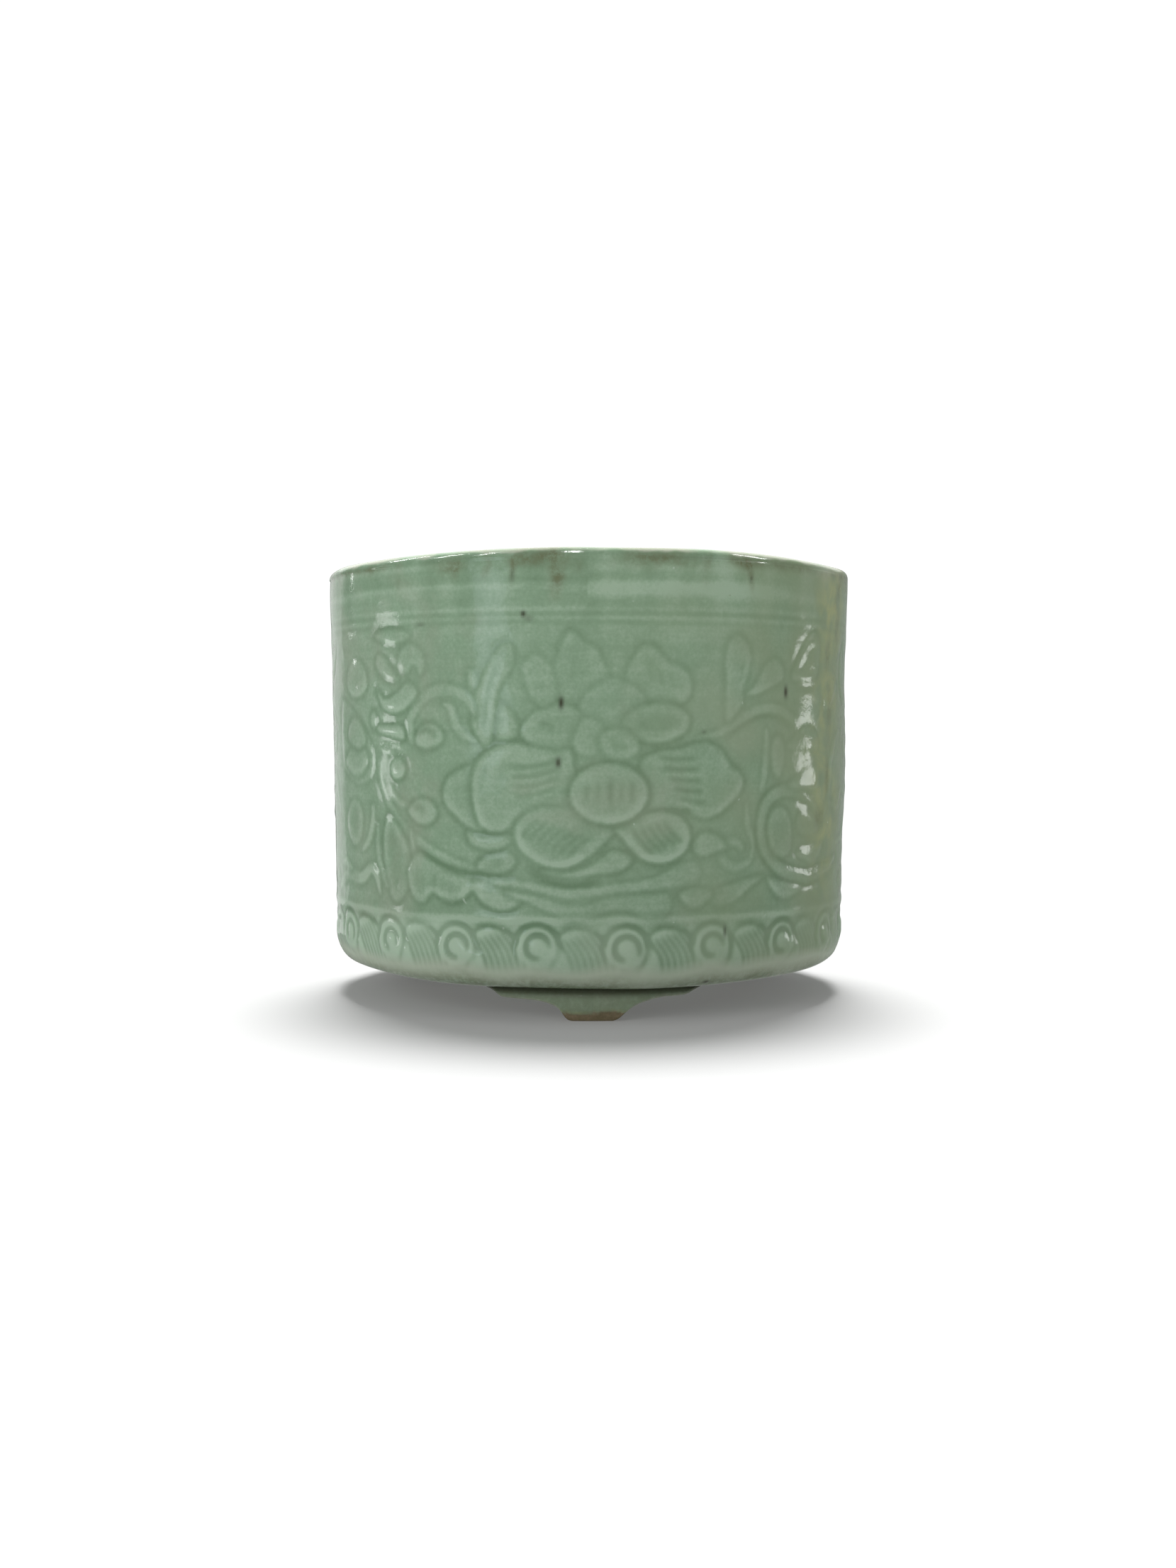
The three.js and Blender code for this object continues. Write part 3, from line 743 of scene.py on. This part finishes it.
def celadon(name):
    """Green glaze over carved grey clay. Point values on the mesh say where it pools, thins or is stained,
    and where light and shade are painted on.
    """
    material = bpy.data.materials.new(name)
    n = Nodes(material)
    cloud = n.noise(14.0, 3.0)
    mottle = n.noise(70.0, 5.0, 0.6)
    grain = n.noise(900.0, 4.0, 0.65)
    speckle = n.noise(260.0, 5.0, 0.7)
    brushed = n.noise(1.0, 5.0, 0.6, n.stretched((14, 14, 380)))
    colour = glaze_tone(n, cloud, mottle, speckle, grain, brushed)
    greyed = n.span(n.noise(22.0, 4.0, 0.6, warp=0.4), 0.52, 0.72)
    colour = n.mix(n.times(greyed, 0.30), colour, GREY_MOTTLE)
    colour = n.mix(n.times(n.attribute("warm"), 0.8), colour, WARM)
    # The pale and ash tones also carry painted light on the lower wall; the cream tone also carries a painted
    # highlight along the feet's lower edges.
    for field, tone in (("pale", PALE), ("ash_and_bounce_light", ASH_AND_BOUNCE_LIGHT), ("cream_and_highlight", CREAM_AND_HIGHLIGHT)):
        colour = n.mix(n.attribute(field), colour, tone)
    broken = n.attribute("ochre"), n.span(n.noise(75.0, 6.0, 0.7, warp=0.6), 0.32, 0.66, 0.2, 1.0)
    colour = n.mix(n.times(*broken), colour, OCHRE)
    # Iron-brown stains, which also carry painted shade low on the wall and on the feet.
    stain_and_shade = n.attribute("wash_and_shade"), n.span(n.noise(420.0, 5.0, 0.7), 0.3, 0.62, 0.35, 1.0)
    colour = n.mix(n.times(*stain_and_shade), colour, IRON_WASH_AND_SHADE)
    # Iron flecks, and the painted shade at the tops of the feet under the pot.
    colour = n.mix(n.attribute("iron_and_shade"), colour, IRON_AND_SHADE)
    pepper = n.span(n.noise(260.0, 2.0, 0.5), 0.77, 0.83)
    colour = n.mix(n.times(pepper, 0.5), colour, IRON_WASH_AND_SHADE)
    salt = n.span(n.noise(330.0, 1.0, 0.5), 0.79, 0.84)
    colour = n.mix(n.times(salt, 0.4), colour, PALE_SPECK)
    bare = n.attribute("bare")
    clay_tone = n.mix(n.span(n.noise(400.0, 6.0, 0.7), 0.35, 0.7), BARE_CLAY, BARE_CLAY_LIGHT)
    colour = n.mix(bare, colour, clay_tone)
    rough = n.plus(n.span(mottle, 0.2, 0.8, 0.07, 0.15), n.times(bare, 0.6))
    rough = n.plus(rough, n.times(n.attribute("ash_and_bounce_light"), 0.12))
    bump = n.add("ShaderNodeBump", Strength=0.25, Distance=0.0002)
    n.link(n.plus(n.noise(420.0, 3.0, 0.6), n.times(grain, n.plus(bare, 0.06))), bump.inputs["Height"])
    shader = n.add("ShaderNodeBsdfPrincipled", IOR=1.5, Specular_IOR_Level=0.5, Subsurface_Weight=0.12,
                   Subsurface_Radius=(0.5, 1.0, 0.5), Subsurface_Scale=0.0012)
    n.link(colour, shader.inputs["Base Color"])
    n.link(rough, shader.inputs["Roughness"])
    n.link(bump.outputs["Normal"], shader.inputs["Normal"])
    n.finish(shader.outputs[0], "ShaderNodeOutputMaterial")
    return material


wall_glaze = celadon("celadon_wall")
floor_glaze = celadon("celadon_floor")
foot_glaze = celadon("celadon_foot")


def turned_arc(s):
    """Arc positions counted from the front, half a round each way."""
    return (s + ROUND / 2) % ROUND - ROUND / 2


def fade_out(s, middle, wide):
    """1 at an arc position, fading out over wide on both sides of it, for every height."""
    return np.exp(-(((turned_arc(s) - middle) / wide) ** 2))


def spots(s, z, marks):
    """Sum of soft oval marks, each (arc position, height, half-width, half-height, strength)."""
    total = np.zeros(np.broadcast(s, z).shape)
    for at_s, at_z, wide, tall, strength in marks:
        ds = turned_arc(s - at_s)
        total += strength * np.exp(-((np.abs(ds) / wide) ** 2.4) - ((np.abs(z - at_z) / tall) ** 2.4))
    return total


# ---- vessel wall
MIDDLE_Z = 72
FULLER = 0.55  # the wall swells this much on the right, at its middle
WARP_AT = [-283, -180, -112, -84, -60, -30, 0, 30, 60, 100, 160, 283]  # the rim's slump, by arc position
WARP_BY = [-0.2, -0.6, -1.4, -1.4, -0.7, -0.1, 0.3, 0.1, -0.5, -0.9, -0.3, -0.2]

# marks on the glaze, each (arc position, height, half-width, half-height, strength)
CREAM_SPOTS = [(97, 142.6, 13, 3.0, 0.5), (92, 139, 4, 4, 0.3)]
RIM_STAINS = [
    (-44, 141, 5, 3.6, 0.65), (-42, 138.6, 1.4, 3.6, 0.4), (-32, 139.6, 1.4, 4.2, 0.4),
    (-23, 138.2, 1.2, 4.6, 0.6), (-9.2, 138.4, 2.4, 6.6, 0.95), (-14, 141.8, 12, 2.4, 0.65),
    (-4.4, 138.8, 2, 2, 0.3), (-78, 141, 2, 3, 0.4), (-66, 139.6, 1.6, 5, 0.45), (14, 141.4, 12, 3, 0.25),
    (30, 141.6, 9, 2.2, 0.3), (49, 141.8, 6, 2.2, 0.45), (53, 138.8, 1.3, 5.0, 0.55), (36, 140, 1.5, 5, 0.4),
    (120, 140, 7, 5, 0.6), (170, 141, 10, 3.5, 0.6), (-150, 140.5, 8, 4, 0.6),
    (-108, 140.5, 9, 4, 0.5), (224, 140.5, 8, 4, 0.6),
]
IRON_FLECKS = [
    (-20, 125, 0.8, 0.9, 0.9), (-18.4, 123.6, 1.4, 1.0, 0.35), (-8.4, 98.2, 0.75, 1.9, 0.95),
    (-9.3, 80.2, 0.85, 1.5, 0.85), (69.6, 102, 0.9, 1.9, 0.9), (44.8, 28, 0.5, 1.8, 0.7),
    (39.8, 12.4, 1.1, 0.5, 0.8), (-23.3, 136.4, 0.7, 1.9, 0.35), (53, 136.6, 0.6, 0.8, 0.5),
    (-56, 122.6, 1.6, 0.6, 0.35), (36.6, 89.4, 0.7, 0.6, 0.4), (130, 96, 0.9, 1.4, 0.8),
    (-150, 60, 0.8, 1.2, 0.8), (-226, 110, 0.9, 1.6, 0.7), (205, 44, 0.8, 1.0, 0.7),
]
OCHRE_RUNS = [
    (95, 134, 12, 12, 0.6), (97, 112, 10, 20, 0.55), (94, 82, 11, 24, 0.5),
    (98, 56, 11, 20, 0.45), (108, 132, 14, 12, 0.25), (-170, 126, 8, 14, 0.3),
]
RUN_STAINS = [
    (100, 136, 2.5, 6, 0.6), (103, 124, 2, 5, 0.5), (96, 116, 2, 6, 0.5),
    (99, 96, 2, 8, 0.5), (92, 62, 3, 3.5, 0.6), (97, 76, 1.6, 7, 0.5),
]
GREYED = [(26, 56, 16, 14, 0.28), (42, 96, 16, 24, 0.22), (0, 20, 40, 9, 0.25), (60, 78, 14, 16, 0.22)]


def wall_profile():
    """Runs of (radius, height): underside, corner, side, the lip in two curves, inside, toe."""
    side_z = np.arange(WAIST_Z, LIP_Z, PITCH)
    side_r = MOUTH_R - np.interp(side_z, SIDE_HEIGHTS, SIDE_INSETS)
    smooth = np.convolve(np.pad(side_r, 8, mode="edge"), np.ones(17) / 17, mode="valid")
    lip_inner_z = TOP_Z - 0.2
    return [
        straight((TOE_R, UNDER_Z), (UNDER_R, UNDER_Z), 6),
        curve2((UNDER_R, UNDER_Z), (UNDER_R + 6.8, UNDER_Z + 0.2), (WAIST_R, WAIST_Z), 24),
        np.column_stack([smooth, side_z]),
        curve2((MOUTH_R, LIP_Z), (MOUTH_R, TOP_Z), (LIP_R, TOP_Z), 12),
        curve2((LIP_R, TOP_Z), (INNER_MOUTH_R, lip_inner_z), (INNER_MOUTH_R, MOUTH_Z), 10),
        straight((INNER_MOUTH_R, MOUTH_Z), (INNER_BELLY_R, TOE_Z), 40),
        straight((INNER_BELLY_R, TOE_Z), (TOE_R, UNDER_Z), 12),
    ]


def build_wall():
    parts = wall_profile()
    profile = np.vstack(parts)
    ahead, behind = np.roll(profile, -1, 0), np.roll(profile, 1, 0)
    along = ahead - behind
    along /= np.linalg.norm(along, axis=1)[:, None]
    normal = np.column_stack([along[:, 1], -along[:, 0]])
    arc = np.arange(COLUMNS) * ROUND / COLUMNS
    s, z = np.meshgrid(arc, profile[:, 1])
    run = np.repeat(np.arange(len(parts)), [len(p) for p in parts])
    outside = (run == 1) | (run == 2)
    lip = (run == 3) | (run == 4)
    carved = np.where(outside, np.clip((profile[:, 1] - 12.5) / 2.5, 0, 1), 0.0)
    fade = np.where(outside, 1.0, np.where(lip, 0.6, 0.15))[:, None]
    lift = on_map(surface, s, z) * carved[:, None]
    wobble = on_map(soft_noise(21, 26), s, z * 0 + 60) * 0.16 + on_map(soft_noise(22, 14), s, z) * 0.09
    theta = arc / ARC_R
    fuller = FULLER * np.exp(-(((theta - math.pi / 2) / 0.7) ** 2))[None, :]
    fuller = fuller * np.exp(-(((z - MIDDLE_Z) / 26) ** 2))
    lift = lift + (wobble + fuller) * fade
    radius = profile[:, :1] + lift * normal[:, :1]
    height = z + lift * normal[:, 1:]
    warp = np.interp(turned_arc(arc), WARP_AT, WARP_BY)
    warp = np.convolve(np.pad(warp, 15, mode="wrap"), np.ones(31) / 31, "valid")
    uneven_lip = on_map(soft_noise(23, 9), s, z * 0 + 80) * 0.12 + warp
    height = height + uneven_lip * np.clip((z - MOUTH_Z) / 3, 0, 1)
    rings = 0.16 * np.sin(z / 1.5 + 0.6 * np.sin(s / 60)) + 0.25 * np.sin(z / 4.1 + s / 90)
    radius = radius + rings * (~(outside | lip) & (profile[:, 1] > TOE_Z))[:, None]
    points = np.stack([radius * np.sin(theta), -radius * np.cos(theta), height], -1)
    outer = (outside | lip)[:, None]
    values = wall_marks(s, z, profile[:, 0][:, None], outer, carved[:, None])
    return grid_mesh("carved_wall", points, True, wall_glaze, values)


def wall_marks(s, z, r, outer, carved):
    """Where the glaze pools, thins or is stained, and where light and shade are painted on it, as point
    values.
    """
    rough_edge = on_map(soft_noise(31, 5), s, z)
    fine_edge = on_map(soft_noise(32, 1.6), s, z)
    pool = np.where(outer, on_map(pooled_and_shade, s, z) * carved, 0.1)
    low_edge = z - 0.7 * rough_edge
    # Paler where the wall turns under: partly thinner glaze, partly painted light bounced up from the floor.
    ash_and_bounce_light = 0.75 * outer * np.clip((19.5 - low_edge) / 3.5, 0, 1) * np.clip((low_edge - UNDER_Z) / 2.5, 0, 1)
    # The wave band is paler, partly from thinner glaze and partly from painted light. It is painted lighter
    # towards the left, where more light falls, and darker towards the right.
    pale = 0.34 + 0.34 * fade_out(s, -78, 46) - 0.2 * fade_out(s, 80, 50)
    pale = pale * outer * np.clip((31 - low_edge) / 3, 0, 1) * np.clip(1.0 - 0.4 * pool, 0.6, 1.1)
    crown = np.clip(2.1 - (TOP_Z - z) / 0.8 + 0.35 * fine_edge, 0, 1)
    cream_and_highlight = crown * np.clip(0.9 + 0.25 * rough_edge, 0, 1) + spots(s, z + 0.6 * fine_edge, CREAM_SPOTS)
    streaks = on_map(soft_noise(33, 2.0), s, z * 0.12 + 50)
    brushed = on_map(soft_noise(35, 2.0), s * 0.06 + 100, (z - 100) * 2.2 + 10)
    pool = pool - 0.3 * crown + 0.1 * streaks * np.clip((z - 112) / 25, 0, 1)
    pool = pool + 0.15 * brushed * np.clip((z - 124) / 8, 0, 1) * outer
    swerve = 2.2 * on_map(soft_noise(34, 12), s * 0 + 40, z)
    wash_and_shade = 0.45 * np.exp(-(((z - 141.4) / 1.8) ** 2)) * outer * np.clip(0.5 + 0.6 * rough_edge, 0, 1.2)
    at_rim = spots(s + 0.8 * rough_edge, z + 0.5 * fine_edge, RIM_STAINS)
    wash_and_shade = wash_and_shade + at_rim * np.clip(0.85 + 0.3 * fine_edge, 0.3, 1)
    # Darker olive-brown towards the bottom edge: partly browner glaze, partly painted shade where the wall
    # turns under.
    wash_and_shade = wash_and_shade + 0.8 * outer * np.clip((15.8 - low_edge) / 5.0, 0, 1)
    wash_and_shade = wash_and_shade + spots(s + swerve, z + fine_edge, RUN_STAINS)
    ochre = spots(s + swerve, z, OCHRE_RUNS) * np.clip(0.75 + 0.35 * rough_edge + 0.45 * fine_edge, 0.1, 1)
    greyed = spots(s, z, GREYED) * np.clip(0.6 + 0.5 * rough_edge, 0, 1) * 0.55
    unglazed_rim = np.clip((r - TOE_R - 1) * -0.2 + 0.3, 0, 1)
    bare = np.where(outer, 0.0, np.clip((UNDER_Z + 0.4 - z) * 3, 0, 1) * unglazed_rim)
    warm = fade_out(s, 88, 62) * np.clip(0.75 + 0.25 * rough_edge, 0, 1) + 0.5 * fade_out(s + swerve, 97, 13)
    fields = {"ash_and_bounce_light": np.maximum(ash_and_bounce_light, greyed), "cream_and_highlight": cream_and_highlight, "wash_and_shade": wash_and_shade, "iron_and_shade": spots(s, z, IRON_FLECKS),
              "ochre": ochre, "bare": bare, "warm": warm, "pale": pale}
    values = {name: np.clip(field, 0, 1) * np.ones_like(s) for name, field in fields.items()}
    values["pooled_and_shade"] = np.clip(pool, -1, 1)
    return values


# ---- floor slab
SLAB_COLUMNS = 288
SLAB_DISH = 1.2
FIRING_RING_R = 55
MIDDLE_R = 0.5  # radius of the faces that close the slab in its middle


def build_floor():
    """The slab inside the foot of the wall: dished and glazed above, bare under, with a brown firing ring."""
    outer_r, top, low = floor_high.x - 0.1, floor_high.z, floor_low.z
    base_r = TOE_R - 0.2
    dish_z = top - SLAB_DISH
    shoulder, fillet_end = (outer_r - 0.1, top - 1.9), (outer_r - 5, top - 0.2)
    unglazed = [straight((MIDDLE_R, low), (base_r, low), 48), straight((base_r, low), shoulder, 8)]
    glazed = [
        curve2(shoulder, (outer_r + 3.1, top + 0.6), fillet_end, 10),
        curve2(fillet_end, (outer_r / 2, dish_z), (MIDDLE_R, dish_z), 40),
        [[MIDDLE_R, dish_z]],
    ]
    profile = np.vstack(unglazed + glazed)
    r, low_z = profile[:, :1], profile[:, 1:]
    under = np.arange(len(profile))[:, None] < sum(len(run) for run in unglazed)
    angle = (np.arange(SLAB_COLUMNS) * 2 * math.pi / SLAB_COLUMNS)[None, :]
    across, along = outer_r + r * np.sin(angle), outer_r + 0.85 * r * np.cos(angle)
    ripple = on_map(soft_noise(41, 8), across, along) * 0.06
    z = low_z + np.where(under, ripple * 0.5, ripple + 0.05 * np.sin(r * 0.9 + angle))
    points = np.stack([r * np.sin(angle), -r * np.cos(angle), z], -1)
    edge = on_map(soft_noise(42, 4), across, along)
    ring = np.exp(-(((r - FIRING_RING_R - edge) / 5.0) ** 4)) * under
    pool = np.where(under, -0.1, 0.35 * np.exp(-(((r - outer_r + 3) / 4) ** 2)) + 0.12)
    full = np.ones_like(edge)
    values = {"pooled_and_shade": pool * full, "ash_and_bounce_light": np.where(under, 0.35, 0.05) * full, "wash_and_shade": 0.9 * ring * full,
              "ochre": np.clip(0.25 * edge, 0, 0.3) * full, "bare": np.clip(ring + 0.2 * under, 0, 1) * full}
    return grid_mesh("floor_slab", points, False, floor_glaze, values)


# ---- feet
APRON_HALF = (foot_high.x - foot_low.x) / 2
TREAD_HALF = 6.4
TREAD_R0, TREAD_R1 = 64.5, 76.8  # back and front of the tread
FOOT_FRONT_R = -foot_low.y
EDGE_ROUND = 1.1
BARE_Z = 2.75  # the glaze ends at this height
# lower edge of a foot, left and right of its middle: distances along it, then heights
SWEEP_LEFT = ([7.0, 8.4, 9.3, 9.9, 10.8, 12.3, 14.5, 17.5, 22, 29.5, 31, 33, 35.5, 38],
              [0, 0.4, 1.5, 2.8, 3.9, 4.9, 5.7, 6.3, 6.6, 6.9, 7.6, 9.0, 9.9, 10.4])
SWEEP_RIGHT = ([6.4, 8.0, 9.4, 10.8, 12.2, 14, 16.5, 19.5, 22.5, 29.6, 31.5, 33.5, 36, 38.5],
               [0, 0.6, 2.1, 3.3, 4.3, 5.3, 6.1, 6.8, 7.2, 7.4, 7.8, 8.8, 9.8, 10.4])


def foot_edge(u):
    """Height of the lower edge at distances u along a foot, softened a little, and flat at the tread."""
    height = np.where(u < 0, np.interp(-u, *SWEEP_LEFT), np.interp(u, *SWEEP_RIGHT))
    low = np.convolve(np.pad(height, 2, mode="edge"), np.array([1, 2, 3, 2, 1]) / 9, mode="valid")
    low[np.abs(u) < TREAD_HALF] = 0.0
    return low


def front_radius(z):
    """Front face of a foot: it swells above the tread and draws in again under the pot."""
    swelling = 1 - (1 - np.clip(z / 5.0, 0, 1)) ** 2
    drawn_in = np.clip((z - 6.6) / 4.0, 0, 1) ** 2
    return TREAD_R1 + (FOOT_FRONT_R - TREAD_R1) * swelling - 1.8 * drawn_in


def back_radius(z):
    return TREAD_R0 - 2.5 * np.clip(z / 10.3, 0, 1)


def foot_section(low, top):
    """(radius, height) points round a foot cut through: up its front, down its back, rounded below."""
    soft = min(EDGE_ROUND, 0.45 * (top - low))
    start = low + soft
    z_face = start + (top - low - soft) * np.linspace(0, 1, 12)
    bend = np.linspace(-math.pi / 2, 0, 6)[:-1]
    z_edge = start + soft * np.sin(bend)
    r_edge = front_radius(start) - soft + soft * np.cos(bend)
    r_back_edge = back_radius(start) + soft - soft * np.cos(bend)
    radii = np.concatenate([r_edge, front_radius(z_face), back_radius(z_face)[::-1], r_back_edge[::-1]])
    heights_up = np.concatenate([z_edge, z_face])
    return np.column_stack([radii, np.concatenate([heights_up, heights_up[::-1]])])


def build_foot(name, turn, seed):
    """A bracket foot with softened edges, glazed down to a bare tread."""
    u = np.linspace(-APRON_HALF - 2.6, APRON_HALF + 2.9, 151)
    low = foot_edge(u)
    top = foot_high.z + 0.45
    ring = np.array([foot_section(height, top) for height in low])
    r, z = ring[..., 0], ring[..., 1]
    noise = rng(seed).standard_normal((2, len(u) + 8))
    swell, ripple = (np.convolve(row, np.ones(9) / 9, mode="valid")[:, None] for row in noise)
    r = r + 0.3 * swell * np.clip(z / 3, 0, 1)
    angle = u[:, None] / FOOT_FRONT_R + turn
    points = np.stack([r * np.sin(angle), -r * np.cos(angle), z], -1)
    line = BARE_Z + 0.4 * ripple + 0.25 * np.sin(u[:, None] / 3.1 + seed)
    over_line = np.exp(-(((z - line - 0.35) / 0.3) ** 2))
    # A pale line along the lower edge of the foot, with the glaze less pooled there, is a painted highlight.
    lower_edge = np.exp(-(((z - low[:, None] - 0.3) / 0.4) ** 2))
    full = np.ones_like(r)
    # The foot's glaze is darker and greyer all over, partly its own tone and partly painted shade because it
    # stands under the pot; its top, under the pot's edge, is painted darker still as shade.
    values = {"pooled_and_shade": 0.45 + 0.5 * np.exp(-(((z - top) / 3) ** 2)) - 0.5 * lower_edge,
              "ash_and_bounce_light": 0.3 * full, "wash_and_shade": 0.38 * full, "iron_and_shade": 0.8 * np.exp(-(((top - z) / 2.7) ** 3)),
              "ochre": 0.75 * over_line, "cream_and_highlight": 0.8 * lower_edge * (z > line),
              "bare": np.clip((line - z) / 0.4 + 0.5, 0, 1), "warm": 0.3 * full}
    values = {key: field[:, ::-1] for key, field in values.items()}
    return grid_mesh(name, points[:, ::-1], False, foot_glaze, values)


def foot_turn(node):
    """The angle round +Z from the front at which a CAD foot stands."""
    floor_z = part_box(node)[0].z
    co = np.array([v.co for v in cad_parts[node].data.vertices])
    tread = co[co[:, 2] < floor_z + 0.1 * MM].mean(0)
    return math.atan2(tread[0], -tread[1])


wall = build_wall()
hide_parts("vessel_wall")
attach(wall, "root")

slab = build_floor()
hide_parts("floor_disc")
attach(slab, "root")

for number, node in enumerate(("foot_front", "foot_back_right", "foot_back_left")):
    foot = build_foot(node + "_glazed", foot_turn(node), 51 + number)
    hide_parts(node)
    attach(foot, "root")


# ---- stage, lights and camera, in metres
FILL = 0.38  # brightness of the room on matt surfaces, in the gloss and behind the pot
ROOM_GLOSS = 0.32
BACKDROP = 1.05
POT_MIDDLE = (0, 0, 0.08)
RIM_LAMP_REACH, RIM_LAMP_Z = 1.1, 0.98
CAMERA_LENS, SENSOR_WIDTH = 39.76, 36.0  # millimetres
CAMERA_REACH = 6.769  # in widest radii of the pot
CAMERA_Z = 0.6215  # in heights of the pot
CAMERA_TIP = 1.79  # degrees below the level


def make_floor():
    bpy.ops.mesh.primitive_plane_add(size=12.0, location=(0, 0, 0))
    ground = bpy.context.object
    ground.name = "studio_floor"
    material = bpy.data.materials.new("pale_floor")
    n = Nodes(material)
    shader = n.add("ShaderNodeBsdfPrincipled", Base_Color=(0.4, 0.4, 0.4, 1), Roughness=1.0,
                   Specular_IOR_Level=0.0, Emission_Color=(1, 1, 1, 1), Emission_Strength=0.12)
    n.finish(shader.outputs[0], "ShaderNodeOutputMaterial")
    ground.data.materials.append(material)
    ground.visible_glossy = False


def softbox(name, place, wide, tall, glow, seen="gloss"):
    """A rectangular light that faces the pot, for the gloss only or for matt surfaces only."""
    light = bpy.data.lights.new(name, "AREA")
    light.shape = "RECTANGLE"
    light.size, light.size_y = wide, tall
    light.energy = glow * math.pi * wide * tall
    lamp = bpy.data.objects.new(name, light)
    lamp.visible_glossy = seen == "gloss"
    lamp.visible_diffuse = seen == "matt"
    lamp.location = place
    lamp.rotation_euler = (Vector(POT_MIDDLE) - Vector(place)).to_track_quat("-Z", "Y").to_euler()
    bpy.context.scene.collection.objects.link(lamp)
    return lamp


def overhead(power, spread, tilt):
    """Soft light from above and a little behind: it whitens the floor and leaves a soft shadow."""
    light = bpy.data.lights.new("overhead", "SUN")
    light.energy = power
    light.angle = math.radians(spread)
    lamp = bpy.data.objects.new("overhead", light)
    lamp.rotation_euler = (math.radians(-tilt), 0, 0)
    lamp.visible_glossy = False
    bpy.context.scene.collection.objects.link(lamp)


def make_world():
    """A white studio: white to the camera, an even fill on matt surfaces and a dim room in the gloss."""
    world = bpy.data.worlds.new("studio")
    bpy.context.scene.world = world
    n = Nodes(world)
    rays = n.add("ShaderNodeLightPath")
    tones = []
    studio = (((0.98, 1.0, 0.98), FILL), ((0.93, 1.0, 0.92), ROOM_GLOSS), ((1.0, 1.0, 1.0), BACKDROP))
    for colour, strength in studio:
        tones.append(n.add("ShaderNodeBackground", Color=(*colour, 1), Strength=strength).outputs[0])
    seen = tones[0]
    for ray, tone in (("Is Glossy Ray", tones[1]), ("Is Camera Ray", tones[2])):
        choice = n.add("ShaderNodeMixShader")
        n.link(rays.outputs[ray], choice.inputs[0])
        n.link(seen, choice.inputs[1])
        n.link(tone, choice.inputs[2])
        seen = choice.outputs[0]
    n.finish(seen, "ShaderNodeOutputWorld")


def make_camera():
    """Eye level just above the middle of the pot, 0.6 m away, tipped down a little."""
    data = bpy.data.cameras.new("camera")
    data.sensor_width = SENSOR_WIDTH
    data.lens = CAMERA_LENS
    camera = bpy.data.objects.new("camera", data)
    camera.location = (-0.0002, -cad_high.x * CAMERA_REACH, cad_high.z * CAMERA_Z)
    camera.rotation_euler = (math.radians(90 - CAMERA_TIP), 0, 0)
    bpy.context.scene.collection.objects.link(camera)
    bpy.context.scene.camera = camera


make_floor()
make_world()
overhead(power=6.4, spread=25, tilt=20)
softbox("front_fill", (-1.1, -1.5, 0.75), 1.3, 1.0, 2.4, "matt")
softbox("left_window_low", (-1.2, 0.10, 0.05), 0.22, 0.10, 3.6)
softbox("left_window_high", (-1.2, 0.06, 0.222), 0.10, 0.014, 1.0)
softbox("left_window_far", (-1.178, -0.229, 0.232), 0.07, 0.012, 0.7)
softbox("left_lamp", (-1.05, 0.62, 0.21), 0.02, 0.06, 12.0)
softbox("back_left_wall", (-0.65, 1.0, 0.30), 0.55, 0.9, 0.45)
softbox("right_window", (1.085, 0.31, 0.06), 0.20, 0.11, 3.4)
softbox("right_window_high", (1.085, 0.30, 0.24), 0.14, 0.10, 0.45)
softbox("front_window", (-0.95, -1.1, 0.13), 0.32, 0.24, 1.5).data.color = (0.78, 0.9, 1.0)
rim_lamps = ((-100, 0.05), (-71, 0.05), (-48, 0.04), (-6, 0.09), (86, 0.07))  # (azimuth, width)
for number, (azimuth, wide) in enumerate(rim_lamps):
    turn = math.radians(azimuth)
    place = (RIM_LAMP_REACH * math.sin(turn), -RIM_LAMP_REACH * math.cos(turn), RIM_LAMP_Z)
    softbox("rim_lamp_%d" % number, place, wide, 0.5, 40.0)
softbox("ceiling", (0, 1.3, 1.3), 3.2, 1.7, 0.7)
make_camera()
bpy.context.scene.view_settings.view_transform = "Standard"
